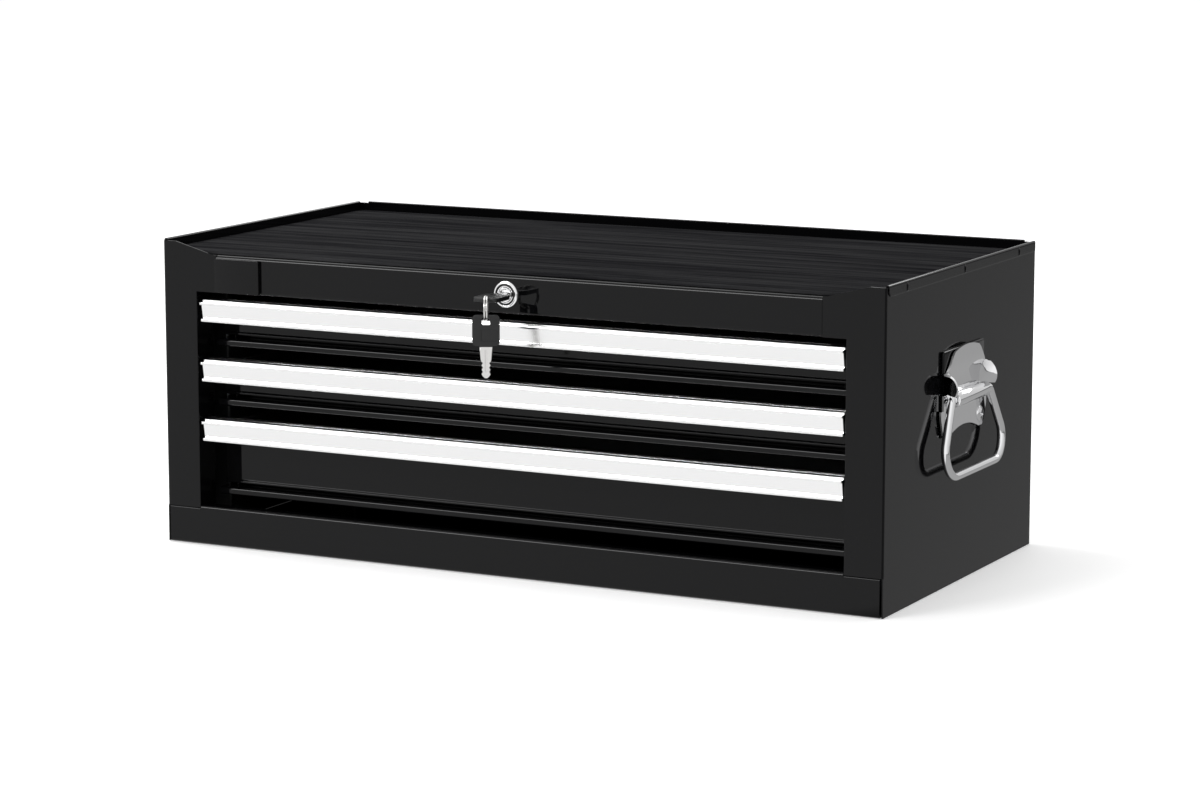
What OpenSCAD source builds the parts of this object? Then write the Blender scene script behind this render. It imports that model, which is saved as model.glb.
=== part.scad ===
// Three-drawer steel tool cabinet with ball-bearing slides, a central lock and drop handles.
// Origin on the floor under the middle of the body, X to the right, Y to the back, Z up.

/* [Cabinet] */
// Width over the side panels
cabinet_w = 660; // [600:1:760]
// Depth from the front plane to the rear flanges
cabinet_d = 325; // [320:1:400]
// Height to the top of the rims
cabinet_h = 260; // [258:1:300]
// Thickness of the folded steel
sheet = 1; // [0.8:0.1:1.2]
// Outside radius of the folds
fold_r = 2.5; // [2:0.1:3.5]
// Gap left at the seams between sheets
seam = 0.3; // [0.2:0.05:0.6]

/* [Front frame] */
// Width of a pillar beside the drawers
pillar_w = 33; // [28:0.5:40]
// Depth of the fold that lines the opening
pillar_return = 26; // [18:0.5:32]
// Width of the stiffening lip behind that fold
pillar_lip = 8; // [5:0.5:12]
// Width of the ear at the top of a pillar
ear_w = 53; // [48:0.5:60]
// Level stretch at the outer end of the ear
ear_flat = 13; // [8:0.5:20]
// Height lost along the ear's slope
ear_drop = 10.5; // [6:0.5:11]
// Height of the top rail
top_rail_h = 32; // [30:0.5:36]
// Height of the bottom rail
bottom_rail_h = 33.5; // [30:0.5:38]
// Step between the bottom rail and the pillar seam
pillar_step = 2; // [1:0.5:4]
// Depth of the folds that stiffen the rails
rail_return = 12; // [8:0.5:16]
// Width of the flange at the back edge of a side
rear_flange = 15; // [10:0.5:20]

/* [Top tray] */
// Height of the rims above the tray floor
rim_h = 11; // [9:0.5:14]
// Height of the hem folded over a side panel
hem_h = 9.3; // [6:0.1:10]
// Room above a side panel's edge inside the hem
hem_room = 0.5; // [0.2:0.1:1]
// Distance of the hem from the front plane
hem_front = 4; // [2:0.5:8]
// Thickness of the ribbed mat
mat_t = 3; // [2:0.5:4]
// Distance of the mat from the front plane
mat_front = 4; // [3:0.5:8]
// Gap round the mat's other edges
mat_gap = 1; // [0.5:0.1:2]
// Width of the blank badge plate
badge_w = 43; // [36:1:50]
// Height of the blank badge plate
badge_h = 29; // [24:0.5:30]
// Thickness of the blank badge plate
badge_t = 3; // [2:0.5:4]

/* [Drawers] */
// Front height of the two shallow drawers
shallow_h = 41.5; // [40:0.1:43]
// Front height of the deep drawer
deep_h = 67.2; // [60:0.1:68]
// Gap between one front and the next
drawer_gap = 9.5; // [8.5:0.1:10]
// Gap between the top rail and the first front
top_gap = 7.7; // [6:0.1:9]
// Steel of the drawers
drawer_sheet = 0.8; // [0.6:0.1:1]
// Gap between a front and the pillar at each end
front_gap = 5.2; // [4:0.1:7]
// Depth of the painted face behind the front plane
face_recess = 33; // [28:0.5:35]
// Depth of the lower lip behind the front plane
lip_recess = 23; // [18:0.5:24]
// Height of the lower lip
lip_h = 5.1; // [4.5:0.1:6]
// Height of the groove over the lip
groove_h = 5.2; // [4.5:0.1:6]
// Depth of the groove behind the face
groove_d = 4; // [3.6:0.1:5]
// Room behind a drawer's tray for the lock bar
back_room = 28.4; // [26:0.1:36]
// Distance of the tray's top edge below the front's top
tray_low = 4; // [3.5:0.1:6]
// Width of the folded top edge of the tray
tray_hem = 6; // [4:0.5:8]
// Length that a drawer opens by
open_len = 180; // [150:1:182]

/* [Pulls] */
// Gap between a pull and the pillar at each end
pull_gap = 2.6; // [1.5:0.1:4]
// Height of a pull
pull_h = 18.1; // [16:0.1:20]
// Thickness of a pull's flanges
pull_flange = 2.3; // [1.8:0.1:2.6]
// Thickness of a pull's web
pull_web = 2; // [1.5:0.1:2.5]
// Depth of the web behind the upper flange's edge
web_top = 5.5; // [4:0.1:6]
// Depth of the web's lower end
web_low = 9.5; // [7:0.1:10]
// Setback of the lower flange's edge
lower_set = 1.8; // [0:0.1:3]
// Depth of the ledge behind the upper flange
ledge_d = 13; // [12.5:0.1:15]
// Height of the rib at the back of the ledge
ledge_rib = 2; // [1:0.1:2.5]

/* [Slides] */
// Thickness of a slide from the box to the frame
slide_w = 12.7; // [12.2:0.1:13.5]
// Height of the outer member
slide_h = 30; // [28:0.5:31]
// Length of both members
slide_len = 255; // [250:1:256]
// Steel of the members
slide_t = 1.2; // [1:0.1:1.4]
// Diameter of the balls
ball_dia = 3.5; // [3.2:0.1:4]
// Running gap on each side of a ball
ball_gap = 0.3; // [0.2:0.05:0.4]
// Balls in one row of a cage
ball_count = 5; // [3:1:7]
// Distance of the slides behind the front plane
slide_front = 44; // [42:0.5:46]
// Width of the uprights that carry the slides
upright_w = 30; // [24:1:36]

/* [Lock] */
// Height of the lock above the middle of the top rail
lock_rise = 0; // [-1:0.5:1]
// Diameter of the lock's bezel
bezel_dia = 22; // [20:0.5:24]
// Diameter of the lock's body
lock_dia = 17; // [16:0.5:18]
// Length of the lock's body behind the rail
lock_len = 26; // [22:0.5:30]
// Diameter of the turning core
core_dia = 12; // [11:0.5:12.5]
// Fitting gap of the lock's round pieces and the screws
turn_gap = 0.06; // [0.03:0.01:0.09]
// Diameter of the rod to the back
rod_dia = 6; // [5:0.5:7]
// Throw of the crank behind the drawers
crank_r = 8.5; // [8:0.1:9]
// Diameter of the crank's pin
pin_dia = 4; // [3:0.5:4.5]
// Width of the lock bar
bar_w = 30; // [28:0.5:34]
// Thickness of the lock bar and the catches
bar_t = 2; // [1.5:0.1:2.5]
// Free room round the moving lock pieces
lock_room = 0.8; // [0.6:0.1:1]

/* [Keys] */
// Width of a key's plastic head
head_w = 22; // [18:0.5:24]
// Length of a key's plastic head
head_len = 25; // [22:0.5:28]
// Thickness of a key's plastic head
head_t = 2.6; // [2.2:0.1:3]
// Side of the square hole in the head
head_hole = 9; // [8:0.1:10]
// Width of the bar between the hole and the end
head_bar = 2.2; // [1.8:0.1:2.4]
// Width of a key's blade
blade_w = 8.6; // [7:0.1:9]
// Thickness of a key's blade
blade_t = 2; // [1.6:0.1:2.2]
// Length of a key's blade below the head
blade_len = 26; // [24:0.5:26]
// Distance of the key's end from the front plane
key_reach = 37; // [34:0.5:40]
// Middle radius of the split ring
ring_r = 9.2; // [8.8:0.1:9.6]
// Wire of the split ring
ring_wire = 1.6; // [1.4:0.1:1.8]
// Turn of the hanging ring about the vertical
ring_turn = 27; // [20:1:32]

/* [Handles] */
// Width of the raised pad behind a handle
pad_w = 95; // [80:1:110]
// Height of the raised pad
pad_h = 36; // [30:1:40]
// Thickness of the raised pad
pad_t = 2; // [1.6:0.1:3]
// Height of the pad's middle above the floor
pad_z = 175.5; // [170:0.5:180]
// Width of the stamped plate at its shoulders
plate_w = 92; // [84:1:100]
// Width of the stamped plate at its crown
crown_w = 62; // [50:1:70]
// Rise of the crown's arch
crown_rise = 4; // [2:0.5:6]
// Thickness of the stamped plate
plate_t = 1.5; // [1.2:0.1:2]
// Height of the plate above the bail's axis
plate_up = 41; // [38:1:48]
// Height of the plate below the bail's axis
plate_down = 31; // [28:1:34]
// Depth of the arch cut into the plate's lower edge
arch_d = 6.5; // [4:0.5:10]
// Height of the bail's axis above the floor
bail_z = 154; // [148:1:157]
// Wire of the bail
bail_dia = 6.6; // [5:0.1:7]
// Gap between the bail and its barrel
bail_gap = 0.3; // [0.2:0.05:0.4]
// Length of the barrel that holds the bail
barrel_len = 68; // [60:1:70]
// Wall of the barrel
barrel_wall = 1.9; // [1.6:0.1:2.4]
// Spread of the bail's legs at their knees
knee_w = 124; // [112:1:130]
// Drop of the knees below the axis
knee_drop = 36; // [30:1:42]
// Spread of the bail between its lower corners
bail_w = 126; // [112:1:132]
// Drop of the bail below its axis
bail_drop = 61.5; // [55:0.5:66]
// Lean of the resting bail away from the side
bail_lean = 5; // [3:0.5:8]
// Bend radius at the bail's lower corners
bail_bend = 14; // [10:0.5:16]
// Bend radius at the bail's knees
knee_bend = 40; // [25:1:50]
// Reach of a stop horn out from the plate
horn_reach = 12.5; // [11:0.5:15]
// Height of a stop horn
horn_h = 16.5; // [12:0.5:18]
// Bend radius of a stop horn
horn_bend = 11; // [8:0.5:11]
// Shank diameter of the handle screws
screw_dia = 4; // [3:0.5:5]
// Head diameter of the handle screws
screw_head = 9; // [8:0.5:10]
// Head height of the handle screws
screw_head_h = 2.6; // [2:0.1:3]
// Distance of the handle screws from the middle
screw_y = 35; // [32:0.5:36]
// Drop of the handle screws below the bail's axis
screw_drop = 21.5; // [19:0.5:23]

/* [Hidden] */
$fn = 48;
bend_steps = 5;
front_y = -cabinet_d / 2;
back_y = cabinet_d / 2;
half_w = cabinet_w / 2;
open_x = half_w - pillar_w;
tray_z = cabinet_h - rim_h;
open_high = tray_z - top_rail_h;
side_top = cabinet_h - sheet - hem_room;
pillar_low = bottom_rail_h - pillar_step;
inner_x = half_w - sheet;
ear_x = half_w - ear_w;

// Drawers from the top down: front height and top edge of each
front_h = [shallow_h, shallow_h, deep_h];
drawer_top = [
    open_high - top_gap,
    open_high - top_gap - shallow_h - drawer_gap,
    open_high - top_gap - 2 * (shallow_h + drawer_gap)
];
function drawer_low(i) = drawer_top[i] - front_h[i];
function tray_floor(i) = drawer_low(i) + drawer_sheet;
function tray_high(i) = drawer_top[i] - tray_low;
function slide_z(i) = (tray_floor(i) + tray_high(i)) / 2;
front_half = open_x - front_gap;
pull_half = open_x - pull_gap;
tray_half = open_x - slide_w;
tray_front = face_recess + groove_d + 2 * drawer_sheet;
tray_back = cabinet_d - back_room;
lip_bend = 2;
toe_bend = 1.5;
face_bend = 2.5;
crease = 0.8;
shelf_low = pull_flange + drawer_sheet;
shelf_lap = 0.4;
shelf_front = web_low - shelf_lap;
foot_len = 20;
ledge_groove = 0.8;
groove_w = 2;
rib_w = 1.5;

// Slides: the inner member's height follows from the balls between the two
inner_h = slide_h - 2 * slide_t - 2 * (ball_dia + 2 * ball_gap);
member_clear = 2.7;
member_reach = slide_w - member_clear;
inner_clear = 4;
inner_reach = slide_w - inner_clear;
cage_t = 0.9;
cage_slack = 1;
cage_len = slide_len - open_len - 2 * cage_slack;
cage_rest = open_len / 2 + cage_slack;
ball_row = inner_h / 2 + ball_gap + ball_dia / 2;
ball_x = tray_half + slide_w / 2;
cage_play = 0.15;
upright_in = 4;
upright_out = 14;
upright_front = [slide_front + upright_in, slide_front + slide_len - upright_w - upright_out];

// Lock train behind the drawers
lock_z = tray_z - top_rail_h / 2 + lock_rise;
bezel_d = 2.5;
bezel_step = 2;
core_front = 3;
core_tail = 2;
keyway_len = lock_len - 4;
nut_across = 24;
nut_t = 4;
bar_space = 7;
bar_front = tray_back + bar_space;
bar_back = bar_front + bar_t;
crank_front = bar_front - lock_room - bar_t;
crank_down = crank_r * sin(45);
bar_throw = 2 * crank_down;
bar_high = tray_z - sheet - bar_throw - lock_room;
bar_foot = 8;
bar_low = drawer_low(2) + bar_foot;
slot_high = pin_dia + 2 * lock_room;
catch_w = 12;
catch_drop = 12;
catch_gap = 2.5;
catch_end = bar_back + catch_gap + bar_t;
catch_rise = 30;
guide_h = 10;
guide_lip = 4;
guide_t = 1.2;
back_face = cabinet_d - 2 * sheet;
guide_under = 26;
guide_over = 6;
guide_z = [drawer_low(1) - guide_under, drawer_low(0) + catch_rise + guide_over];
bracket_w = 24;
bracket_space = 6;
bracket_back = crank_front - bracket_space;

// Keys: the ring hangs over the bar at the end of the key's head
key_y = front_y - key_reach;
hang_y = key_y + head_bar / 2;
hang_x = 1;
ring_gap = 0.65;
head_bevel = 4;
bit_deep = 1;
bit_shallow = 0.4;
bit_step = 3;
ring_in = ring_r - ring_wire / 2;
ring_z = lock_z + head_t / 2 + ring_gap - ring_in;
spare_top = ring_z - ring_in + ring_gap + head_bar;

// Handles: the plate lies on the pad above the bail and on the side panel below it
plate_x = half_w + pad_t;
barrel_r = bail_dia / 2 + bail_gap + barrel_wall;
bail_x = plate_x + barrel_r;
horn_low = bail_z + bail_dia / 2 + 2 * bail_gap;
crown_r = (crown_w * crown_w / 4 + crown_rise * crown_rise) / (2 * crown_rise);
crown_half = asin(crown_w / 2 / crown_r);
lobe_set = 4;
lobe_y = plate_w / 2 - lobe_set;
lobe_in = 5;
arch_half = lobe_y - lobe_in;
arch_r = (arch_half * arch_half + arch_d * arch_d) / (2 * arch_d);
arch_angle = asin(arch_half / arch_r);
joggle = 2;
screw_step = 1;
bail_end = barrel_len / 2 + bail_dia;
bail_inside = 1.5;
bail_tight = bail_dia / 2 + bail_inside;
arc_steps = 12;
wire_sides = 20;

paint = "#16181a";
inside_paint = "#202224";
zinc = "#b9bdc2";
chrome = "#d6d9dc";
aluminium = "#e6e8ea";
mat_black = "#36383a";
plastic = "#101112";

// A box between two corners
module block(low, high) {
    translate(low) cube(high - low);
}

// An outline in the Y-Z plane pulled along X between two places
module along_x(x0, x1) {
    translate([x0, 0, 0]) rotate([90, 0, 90]) linear_extrude(x1 - x0) children();
}

// An outline in the X-Z plane pulled along Y between two places
module along_y(y0, y1) {
    translate([0, y1, 0]) rotate([90, 0, 0]) linear_extrude(y1 - y0) children();
}

// A round bar along Y
module bar_y(r, y0, y1) {
    translate([0, y1, 0]) rotate([90, 0, 0]) cylinder(r = r, h = y1 - y0);
}

// A round bar along X
module bar_x(r, x0, x1) {
    translate([x0, 0, 0]) rotate([0, 90, 0]) cylinder(r = r, h = x1 - x0);
}

module both_sides() {
    children();
    mirror([1, 0, 0]) children();
}

function heading(a, b) = atan2(b[1] - a[1], b[0] - a[0]);
function left_of(angle) = [-sin(angle), cos(angle)];

// Points and headings round one fold of a sheet
function fold_path(a, p, b, r) =
    let (
        start = heading(a, p),
        turn = (heading(p, b) - start + 540) % 360 - 180,
        side = sign(turn),
        tangent = r * tan(abs(turn) / 2),
        centre = p - tangent * [cos(start), sin(start)] + side * r * left_of(start)
    )
    [for (i = [0 : bend_steps])
        let (angle = start + turn * i / bend_steps)
        [centre - side * r * left_of(angle), angle]];

function sheet_path(points, radii) =
    let (last = len(points) - 1)
    concat(
        [[points[0], heading(points[0], points[1])]],
        [for (i = [1 : last - 1])
            each fold_path(points[i - 1], points[i], points[i + 1], radii[i - 1])],
        [[points[last], heading(points[last - 1], points[last])]]
    );

// Outline of a folded sheet; a positive thickness lies to the left of the line
module folded(points, thickness, radii) {
    path = sheet_path(points, radii);
    polygon(concat(
        [for (q = path) q[0]],
        [for (i = [len(path) - 1 : -1 : 0]) path[i][0] + thickness * left_of(path[i][1])]
    ));
}

// A side panel with its pillar, ear and rear flange; the right one
module side() {
    color(paint) difference() {
        union() {
            translate([0, 0, pillar_low]) linear_extrude(open_high - pillar_low) folded([
                [open_x + pillar_lip, front_y + pillar_return],
                [open_x, front_y + pillar_return],
                [open_x, front_y],
                [half_w, front_y],
                [half_w, back_y],
                [half_w - rear_flange, back_y]
            ], sheet, [fold_r, fold_r, fold_r, fold_r]);
            translate([0, 0, open_high]) linear_extrude(side_top - open_high) folded([
                [ear_x, front_y],
                [half_w, front_y],
                [half_w, back_y],
                [half_w - rear_flange, back_y]
            ], sheet, [fold_r, fold_r]);
            linear_extrude(pillar_low) folded([
                [half_w, front_y + sheet],
                [half_w, back_y],
                [half_w - rear_flange, back_y]
            ], sheet, [fold_r]);
        }
        along_y(front_y - sheet, front_y + 2 * sheet) polygon([
            [half_w - ear_flat, side_top],
            [ear_x - sheet, side_top - ear_drop * (1 + sheet / (ear_w - ear_flat))],
            [ear_x - sheet, cabinet_h],
            [half_w - ear_flat, cabinet_h]
        ]);
        handle_screw_holes();
    }
}

module left_side() {
    mirror([1, 0, 0]) side();
}

module right_side() {
    side();
}

// The tray on top: floor, front rail, raised rims and the hems over the sides
module top_panel() {
    rail_half = ear_x - seam;
    rim_x = inner_x - sheet;
    rim_back = back_y - 2 * sheet;
    rim_end = back_y - fold_r;
    color(paint) difference() {
        union() {
            along_x(-rail_half, rail_half) folded([
                [front_y + rail_return, open_high],
                [front_y, open_high],
                [front_y, tray_z],
                [front_y + rail_return, tray_z]
            ], -sheet, [fold_r, fold_r]);
            block([-rim_x, front_y + rail_return, tray_z - sheet], [rim_x, rim_back, tray_z]);
            both_sides() block(
                [rail_half, front_y + sheet, tray_z - sheet],
                [half_w - fold_r - seam, front_y + rail_return, tray_z]
            );
            block([-rim_x, rim_back - sheet, tray_z - sheet], [rim_x, rim_back, cabinet_h]);
            both_sides() {
                block([rim_x, front_y + hem_front, tray_z - sheet], [inner_x, rim_end, cabinet_h]);
                block([inner_x, front_y + hem_front, cabinet_h - sheet], [half_w, back_y, cabinet_h]);
                block(
                    [half_w, front_y + hem_front, cabinet_h - hem_h],
                    [half_w + sheet, back_y, cabinet_h]
                );
            }
        }
        translate([0, 0, lock_z]) bar_y(lock_dia / 2 + turn_gap, front_y - sheet, front_y + 2 * sheet);
    }
}

// The bottom pan with the front rail
module bottom_panel() {
    rail_half = open_x - seam;
    floor_half = inner_x - seam;
    color(paint) union() {
        along_x(-rail_half, rail_half) folded([
            [front_y + rail_return, 0],
            [front_y, 0],
            [front_y, bottom_rail_h],
            [front_y + rail_return, bottom_rail_h]
        ], -sheet, [fold_r, fold_r]);
        both_sides() along_x(rail_half, floor_half) folded([
            [front_y + rail_return, 0],
            [front_y, 0],
            [front_y, pillar_low - seam]
        ], -sheet, [fold_r]);
        both_sides() block([floor_half, front_y, fold_r], [half_w, front_y + sheet, pillar_low - seam]);
        block([-floor_half, front_y + rail_return, 0], [floor_half, back_y - 2 * sheet, sheet]);
    }
}

module back_panel() {
    half = half_w - fold_r;
    color(paint) block([-half, back_y - 2 * sheet, 0], [half, back_y - sheet, side_top]);
}

module top_mat() {
    mat_x = inner_x - sheet - mat_gap;
    color(mat_black)
        block([-mat_x, front_y + mat_front, tray_z], [mat_x, back_y - 3 * sheet - mat_gap, tray_z + mat_t]);
}

// The blank plate on the top rail, beside the left ear
module badge_plate() {
    left = -ear_x + seam;
    high = tray_z - fold_r;
    color(plastic) block([left, front_y - badge_t, high - badge_h], [left + badge_w, front_y, high]);
}

// Two channel-shaped uprights on the right-hand side, on the floor
module uprights() {
    color(inside_paint) for (start = upright_front) {
        y = front_y + start;
        translate([0, 0, sheet]) linear_extrude(open_high - 2 * sheet) folded([
            [inner_x, y + upright_w],
            [open_x, y + upright_w],
            [open_x, y],
            [inner_x, y]
        ], sheet, [fold_r, fold_r]);
    }
}

module left_uprights() {
    mirror([1, 0, 0]) uprights();
}

module right_uprights() {
    uprights();
}

// Outer members of a drawer's slides, fixed to the uprights
module outer_slides(i) {
    y = front_y + slide_front;
    z = slide_z(i);
    color(zinc) both_sides() along_y(y, y + slide_len) polygon([
        [open_x - member_reach, z + slide_h / 2],
        [open_x, z + slide_h / 2],
        [open_x, z - slide_h / 2],
        [open_x - member_reach, z - slide_h / 2],
        [open_x - member_reach, z - slide_h / 2 + slide_t],
        [open_x - slide_t, z - slide_h / 2 + slide_t],
        [open_x - slide_t, z + slide_h / 2 - slide_t],
        [open_x - member_reach, z + slide_h / 2 - slide_t]
    ]);
}

// Inner members, fixed to the sides of the drawer's tray
module inner_slides(i) {
    y = front_y + slide_front;
    z = slide_z(i);
    color(zinc) both_sides() along_y(y, y + slide_len) polygon([
        [tray_half + inner_reach, z + inner_h / 2],
        [tray_half, z + inner_h / 2],
        [tray_half, z - inner_h / 2],
        [tray_half + inner_reach, z - inner_h / 2],
        [tray_half + inner_reach, z - inner_h / 2 + slide_t],
        [tray_half + slide_t, z - inner_h / 2 + slide_t],
        [tray_half + slide_t, z + inner_h / 2 - slide_t],
        [tray_half + inner_reach, z + inner_h / 2 - slide_t]
    ]);
}

function ball_y(k) = front_y + slide_front + cage_rest + cage_len * (k + 0.5) / ball_count;

// Cages that keep the balls apart; they run at half the drawer's travel
module ball_cages(i) {
    y = front_y + slide_front + cage_rest;
    z = slide_z(i);
    web_x = tray_half + inner_reach + cage_t;
    flange = ball_row + cage_t / 2;
    color(zinc) both_sides() difference() {
        along_y(y, y + cage_len) polygon([
            [ball_x - ball_dia / 2 - cage_t, z + flange],
            [web_x + cage_t, z + flange],
            [web_x + cage_t, z - flange],
            [ball_x - ball_dia / 2 - cage_t, z - flange],
            [ball_x - ball_dia / 2 - cage_t, z - flange + cage_t],
            [web_x, z - flange + cage_t],
            [web_x, z + flange - cage_t],
            [ball_x - ball_dia / 2 - cage_t, z + flange - cage_t]
        ]);
        for (k = [0 : ball_count - 1])
            translate([ball_x, ball_y(k), z - slide_h / 2])
                cylinder(r = ball_dia / 2 + cage_play, h = slide_h);
    }
}

module slide_balls(i) {
    color(chrome) both_sides() for (k = [0 : ball_count - 1], s = [-1, 1])
        translate([ball_x, ball_y(k), slide_z(i) + s * ball_row]) sphere(r = ball_dia / 2);
}

// Tray of a drawer: floor, sides with folded edges and back
module drawer_tray(i) {
    low = tray_floor(i);
    high = tray_high(i);
    y0 = front_y + tray_front;
    y1 = front_y + tray_back;
    color(inside_paint) union() {
        along_y(y0, y1) folded([
            [tray_half - tray_hem, high],
            [tray_half, high],
            [tray_half, low],
            [-tray_half, low],
            [-tray_half, high],
            [-tray_half + tray_hem, high]
        ], -drawer_sheet, [toe_bend, toe_bend, toe_bend, toe_bend]);
        along_y(y1 - drawer_sheet, y1) polygon([
            [-tray_half + toe_bend, low],
            [tray_half - toe_bend, low],
            [tray_half - drawer_sheet / 2, low + toe_bend],
            [tray_half - drawer_sheet / 2, high - toe_bend],
            [tray_half - toe_bend, high],
            [-tray_half + toe_bend, high],
            [-tray_half + drawer_sheet / 2, high - toe_bend],
            [-tray_half + drawer_sheet / 2, low + toe_bend]
        ]);
    }
}

// Rolled front of a drawer: lower lip, groove, face and the shelf under the pull
module drawer_front(i) {
    low = drawer_low(i);
    high = drawer_top[i] - shelf_low;
    color(paint) along_x(-front_half, front_half) folded([
        [front_y + tray_front + foot_len, low],
        [front_y + lip_recess, low],
        [front_y + lip_recess, low + lip_h],
        [front_y + face_recess + groove_d, low + lip_h],
        [front_y + face_recess + groove_d, low + lip_h + groove_h],
        [front_y + face_recess, low + lip_h + groove_h],
        [front_y + face_recess, high],
        [front_y + shelf_front, high]
    ], -drawer_sheet, [toe_bend, lip_bend, crease, crease, face_bend, crease]);
}

// Extruded pull: two flanges, a leaning web and a grooved ledge
module drawer_pull(i) {
    z = drawer_top[i];
    under = z - pull_flange;
    low = z - pull_h;
    groove = ledge_d / 3;
    color(aluminium) along_x(-pull_half, pull_half) polygon([
        for (p = [
            [0, under],
            [0, z],
            [groove, z],
            [groove, z - ledge_groove],
            [groove + groove_w, z - ledge_groove],
            [groove + groove_w, z + ledge_groove],
            [groove + groove_w + rib_w, z + ledge_groove],
            [groove + groove_w + rib_w, z],
            [ledge_d - rib_w, z],
            [ledge_d - rib_w, z + ledge_rib],
            [ledge_d, z + ledge_rib],
            [ledge_d, under],
            [web_top + pull_web, under],
            [web_low + pull_web, low + pull_flange],
            [web_low + pull_web, low],
            [lower_set, low],
            [lower_set, low + pull_flange],
            [web_low, low + pull_flange],
            [web_top, under]
        ]) [front_y + p[0], p[1]]
    ]);
}

// Hook on the back of a drawer that reaches through the lock bar
module drawer_catch(i) {
    z = drawer_low(i) + catch_rise;
    color(zinc) along_x(-catch_w / 2, catch_w / 2) polygon([
        [front_y + tray_back, z],
        [front_y + catch_end, z],
        [front_y + catch_end, z - bar_t - catch_drop],
        [front_y + catch_end - bar_t, z - bar_t - catch_drop],
        [front_y + catch_end - bar_t, z - bar_t],
        [front_y + tray_back + bar_t, z - bar_t],
        [front_y + tray_back + bar_t, z - catch_drop],
        [front_y + tray_back, z - catch_drop]
    ]);
}

// Lock body with its stepped bezel
module lock_body() {
    step = bezel_d / 2;
    color(chrome) translate([0, 0, lock_z]) difference() {
        union() {
            bar_y(bezel_dia / 2, front_y - step, front_y);
            bar_y(bezel_dia / 2 - bezel_step, front_y - bezel_d, front_y - step);
            bar_y(lock_dia / 2, front_y, front_y + lock_len);
        }
        bar_y(core_dia / 2 + turn_gap, front_y - 2 * bezel_d, front_y + lock_len + bezel_d);
    }
}

module lock_nut() {
    color(zinc) translate([0, 0, lock_z]) difference() {
        translate([0, front_y + sheet + nut_t, 0]) rotate([90, 0, 0])
            cylinder(d = nut_across / cos(30), h = nut_t, $fn = 6);
        bar_y(lock_dia / 2 + turn_gap, front_y, front_y + 2 * sheet + nut_t);
    }
}

// Turning core with its keyway
module lock_core() {
    color(chrome) translate([0, 0, lock_z]) difference() {
        bar_y(core_dia / 2, front_y - core_front, front_y + lock_len + core_tail);
        block(
            [-blade_w / 2, front_y - 2 * core_front, -blade_t / 2],
            [blade_w / 2, front_y + keyway_len, blade_t / 2]
        );
    }
}

// Rod from the core to the crank behind the drawers
module lock_rod() {
    crank_y = front_y + crank_front;
    pin_end = front_y + bar_back + bar_t;
    color(zinc) translate([0, 0, lock_z]) union() {
        bar_y(rod_dia / 2, front_y + lock_len + core_tail, crank_y + bar_t);
        rotate([0, 45, 0]) union() {
            block([-rod_dia / 2, crank_y, -rod_dia / 2], [crank_r, crank_y + bar_t, rod_dia / 2]);
            translate([crank_r, 0, 0]) bar_y(rod_dia / 2, crank_y, crank_y + bar_t);
            translate([crank_r, 0, 0]) bar_y(pin_dia / 2, crank_y, pin_end);
        }
    }
}

// Bracket under the tray that carries the rod's back end
module rod_bracket() {
    y = front_y + bracket_back;
    color(inside_paint) difference() {
        union() {
            block([-bracket_w / 2, y - sheet, lock_z - rod_dia], [bracket_w / 2, y, tray_z - sheet]);
            block(
                [-bracket_w / 2, y - rail_return, tray_z - 2 * sheet],
                [bracket_w / 2, y - sheet, tray_z - sheet]
            );
        }
        translate([0, 0, lock_z]) bar_y(rod_dia / 2 + turn_gap, y - 2 * sheet, y + sheet);
    }
}

// Sliding bar with a window for each catch and a slot for the crank's pin
module lock_bar() {
    slot_z = lock_z - crank_down;
    window_half = catch_w / 2 + lock_room;
    color(zinc) along_y(front_y + bar_front, front_y + bar_back) difference() {
        translate([-bar_w / 2, bar_low]) square([bar_w, bar_high - bar_low]);
        for (i = [0 : 2]) {
            z = drawer_low(i) + catch_rise;
            translate([-window_half, z - bar_t - catch_drop - lock_room])
                square([2 * window_half, bar_t + catch_drop + 2 * lock_room]);
        }
        translate([crank_down - pin_dia / 2 - lock_room, slot_z - slot_high / 2])
            square([crank_r - crank_down + pin_dia + 2 * lock_room, slot_high]);
    }
}

// Channels on the back panel that the lock bar slides in
module bar_guides() {
    cheek = bar_w / 2 + lock_room / 2;
    lip = bar_w / 2 - guide_lip;
    near = front_y + bar_front - lock_room / 2 - guide_t;
    far = front_y + bar_back + lock_room / 2;
    color(inside_paint) for (z = guide_z) translate([0, 0, z]) linear_extrude(guide_h) union() {
        translate([-cheek - guide_t, front_y + back_face - guide_t])
            square([2 * (cheek + guide_t), guide_t]);
        for (s = [0, 1]) mirror([s, 0]) {
            translate([cheek, near]) square([guide_t, front_y + back_face - near]);
            translate([lip, near]) square([cheek - lip, guide_t]);
            translate([lip, far]) square([cheek - lip, guide_t]);
        }
    }
}

// Plastic head of a key, lying flat with its end at the origin
module head_shape() {
    linear_extrude(head_t, center = true) difference() {
        polygon([
            [-head_w / 2 + head_bevel, 0],
            [head_w / 2 - head_bevel, 0],
            [head_w / 2, head_bevel],
            [head_w / 2, head_len - head_bevel],
            [head_w / 2 - head_bevel, head_len],
            [-head_w / 2 + head_bevel, head_len],
            [-head_w / 2, head_len - head_bevel],
            [-head_w / 2, head_bevel]
        ]);
        translate([-head_hole / 2, head_bar]) square(head_hole);
    }
}

// Metal blade of a key with its bitted edge, starting where the head ends
module blade_shape(length) {
    tip = blade_w / 2;
    linear_extrude(blade_t, center = true) polygon([
        [-blade_w / 2, 0],
        [blade_w / 2, 0],
        [blade_w / 2, length - tip],
        [blade_w / 8, length],
        [-blade_w / 8, length],
        [-blade_w / 2, length - tip],
        [-blade_w / 2 + bit_deep, length - tip - bit_step],
        [-blade_w / 2 + bit_shallow, length - tip - 2 * bit_step]
    ]);
}

module key_head() {
    color(plastic) translate([0, key_y, lock_z]) head_shape();
}

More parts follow.
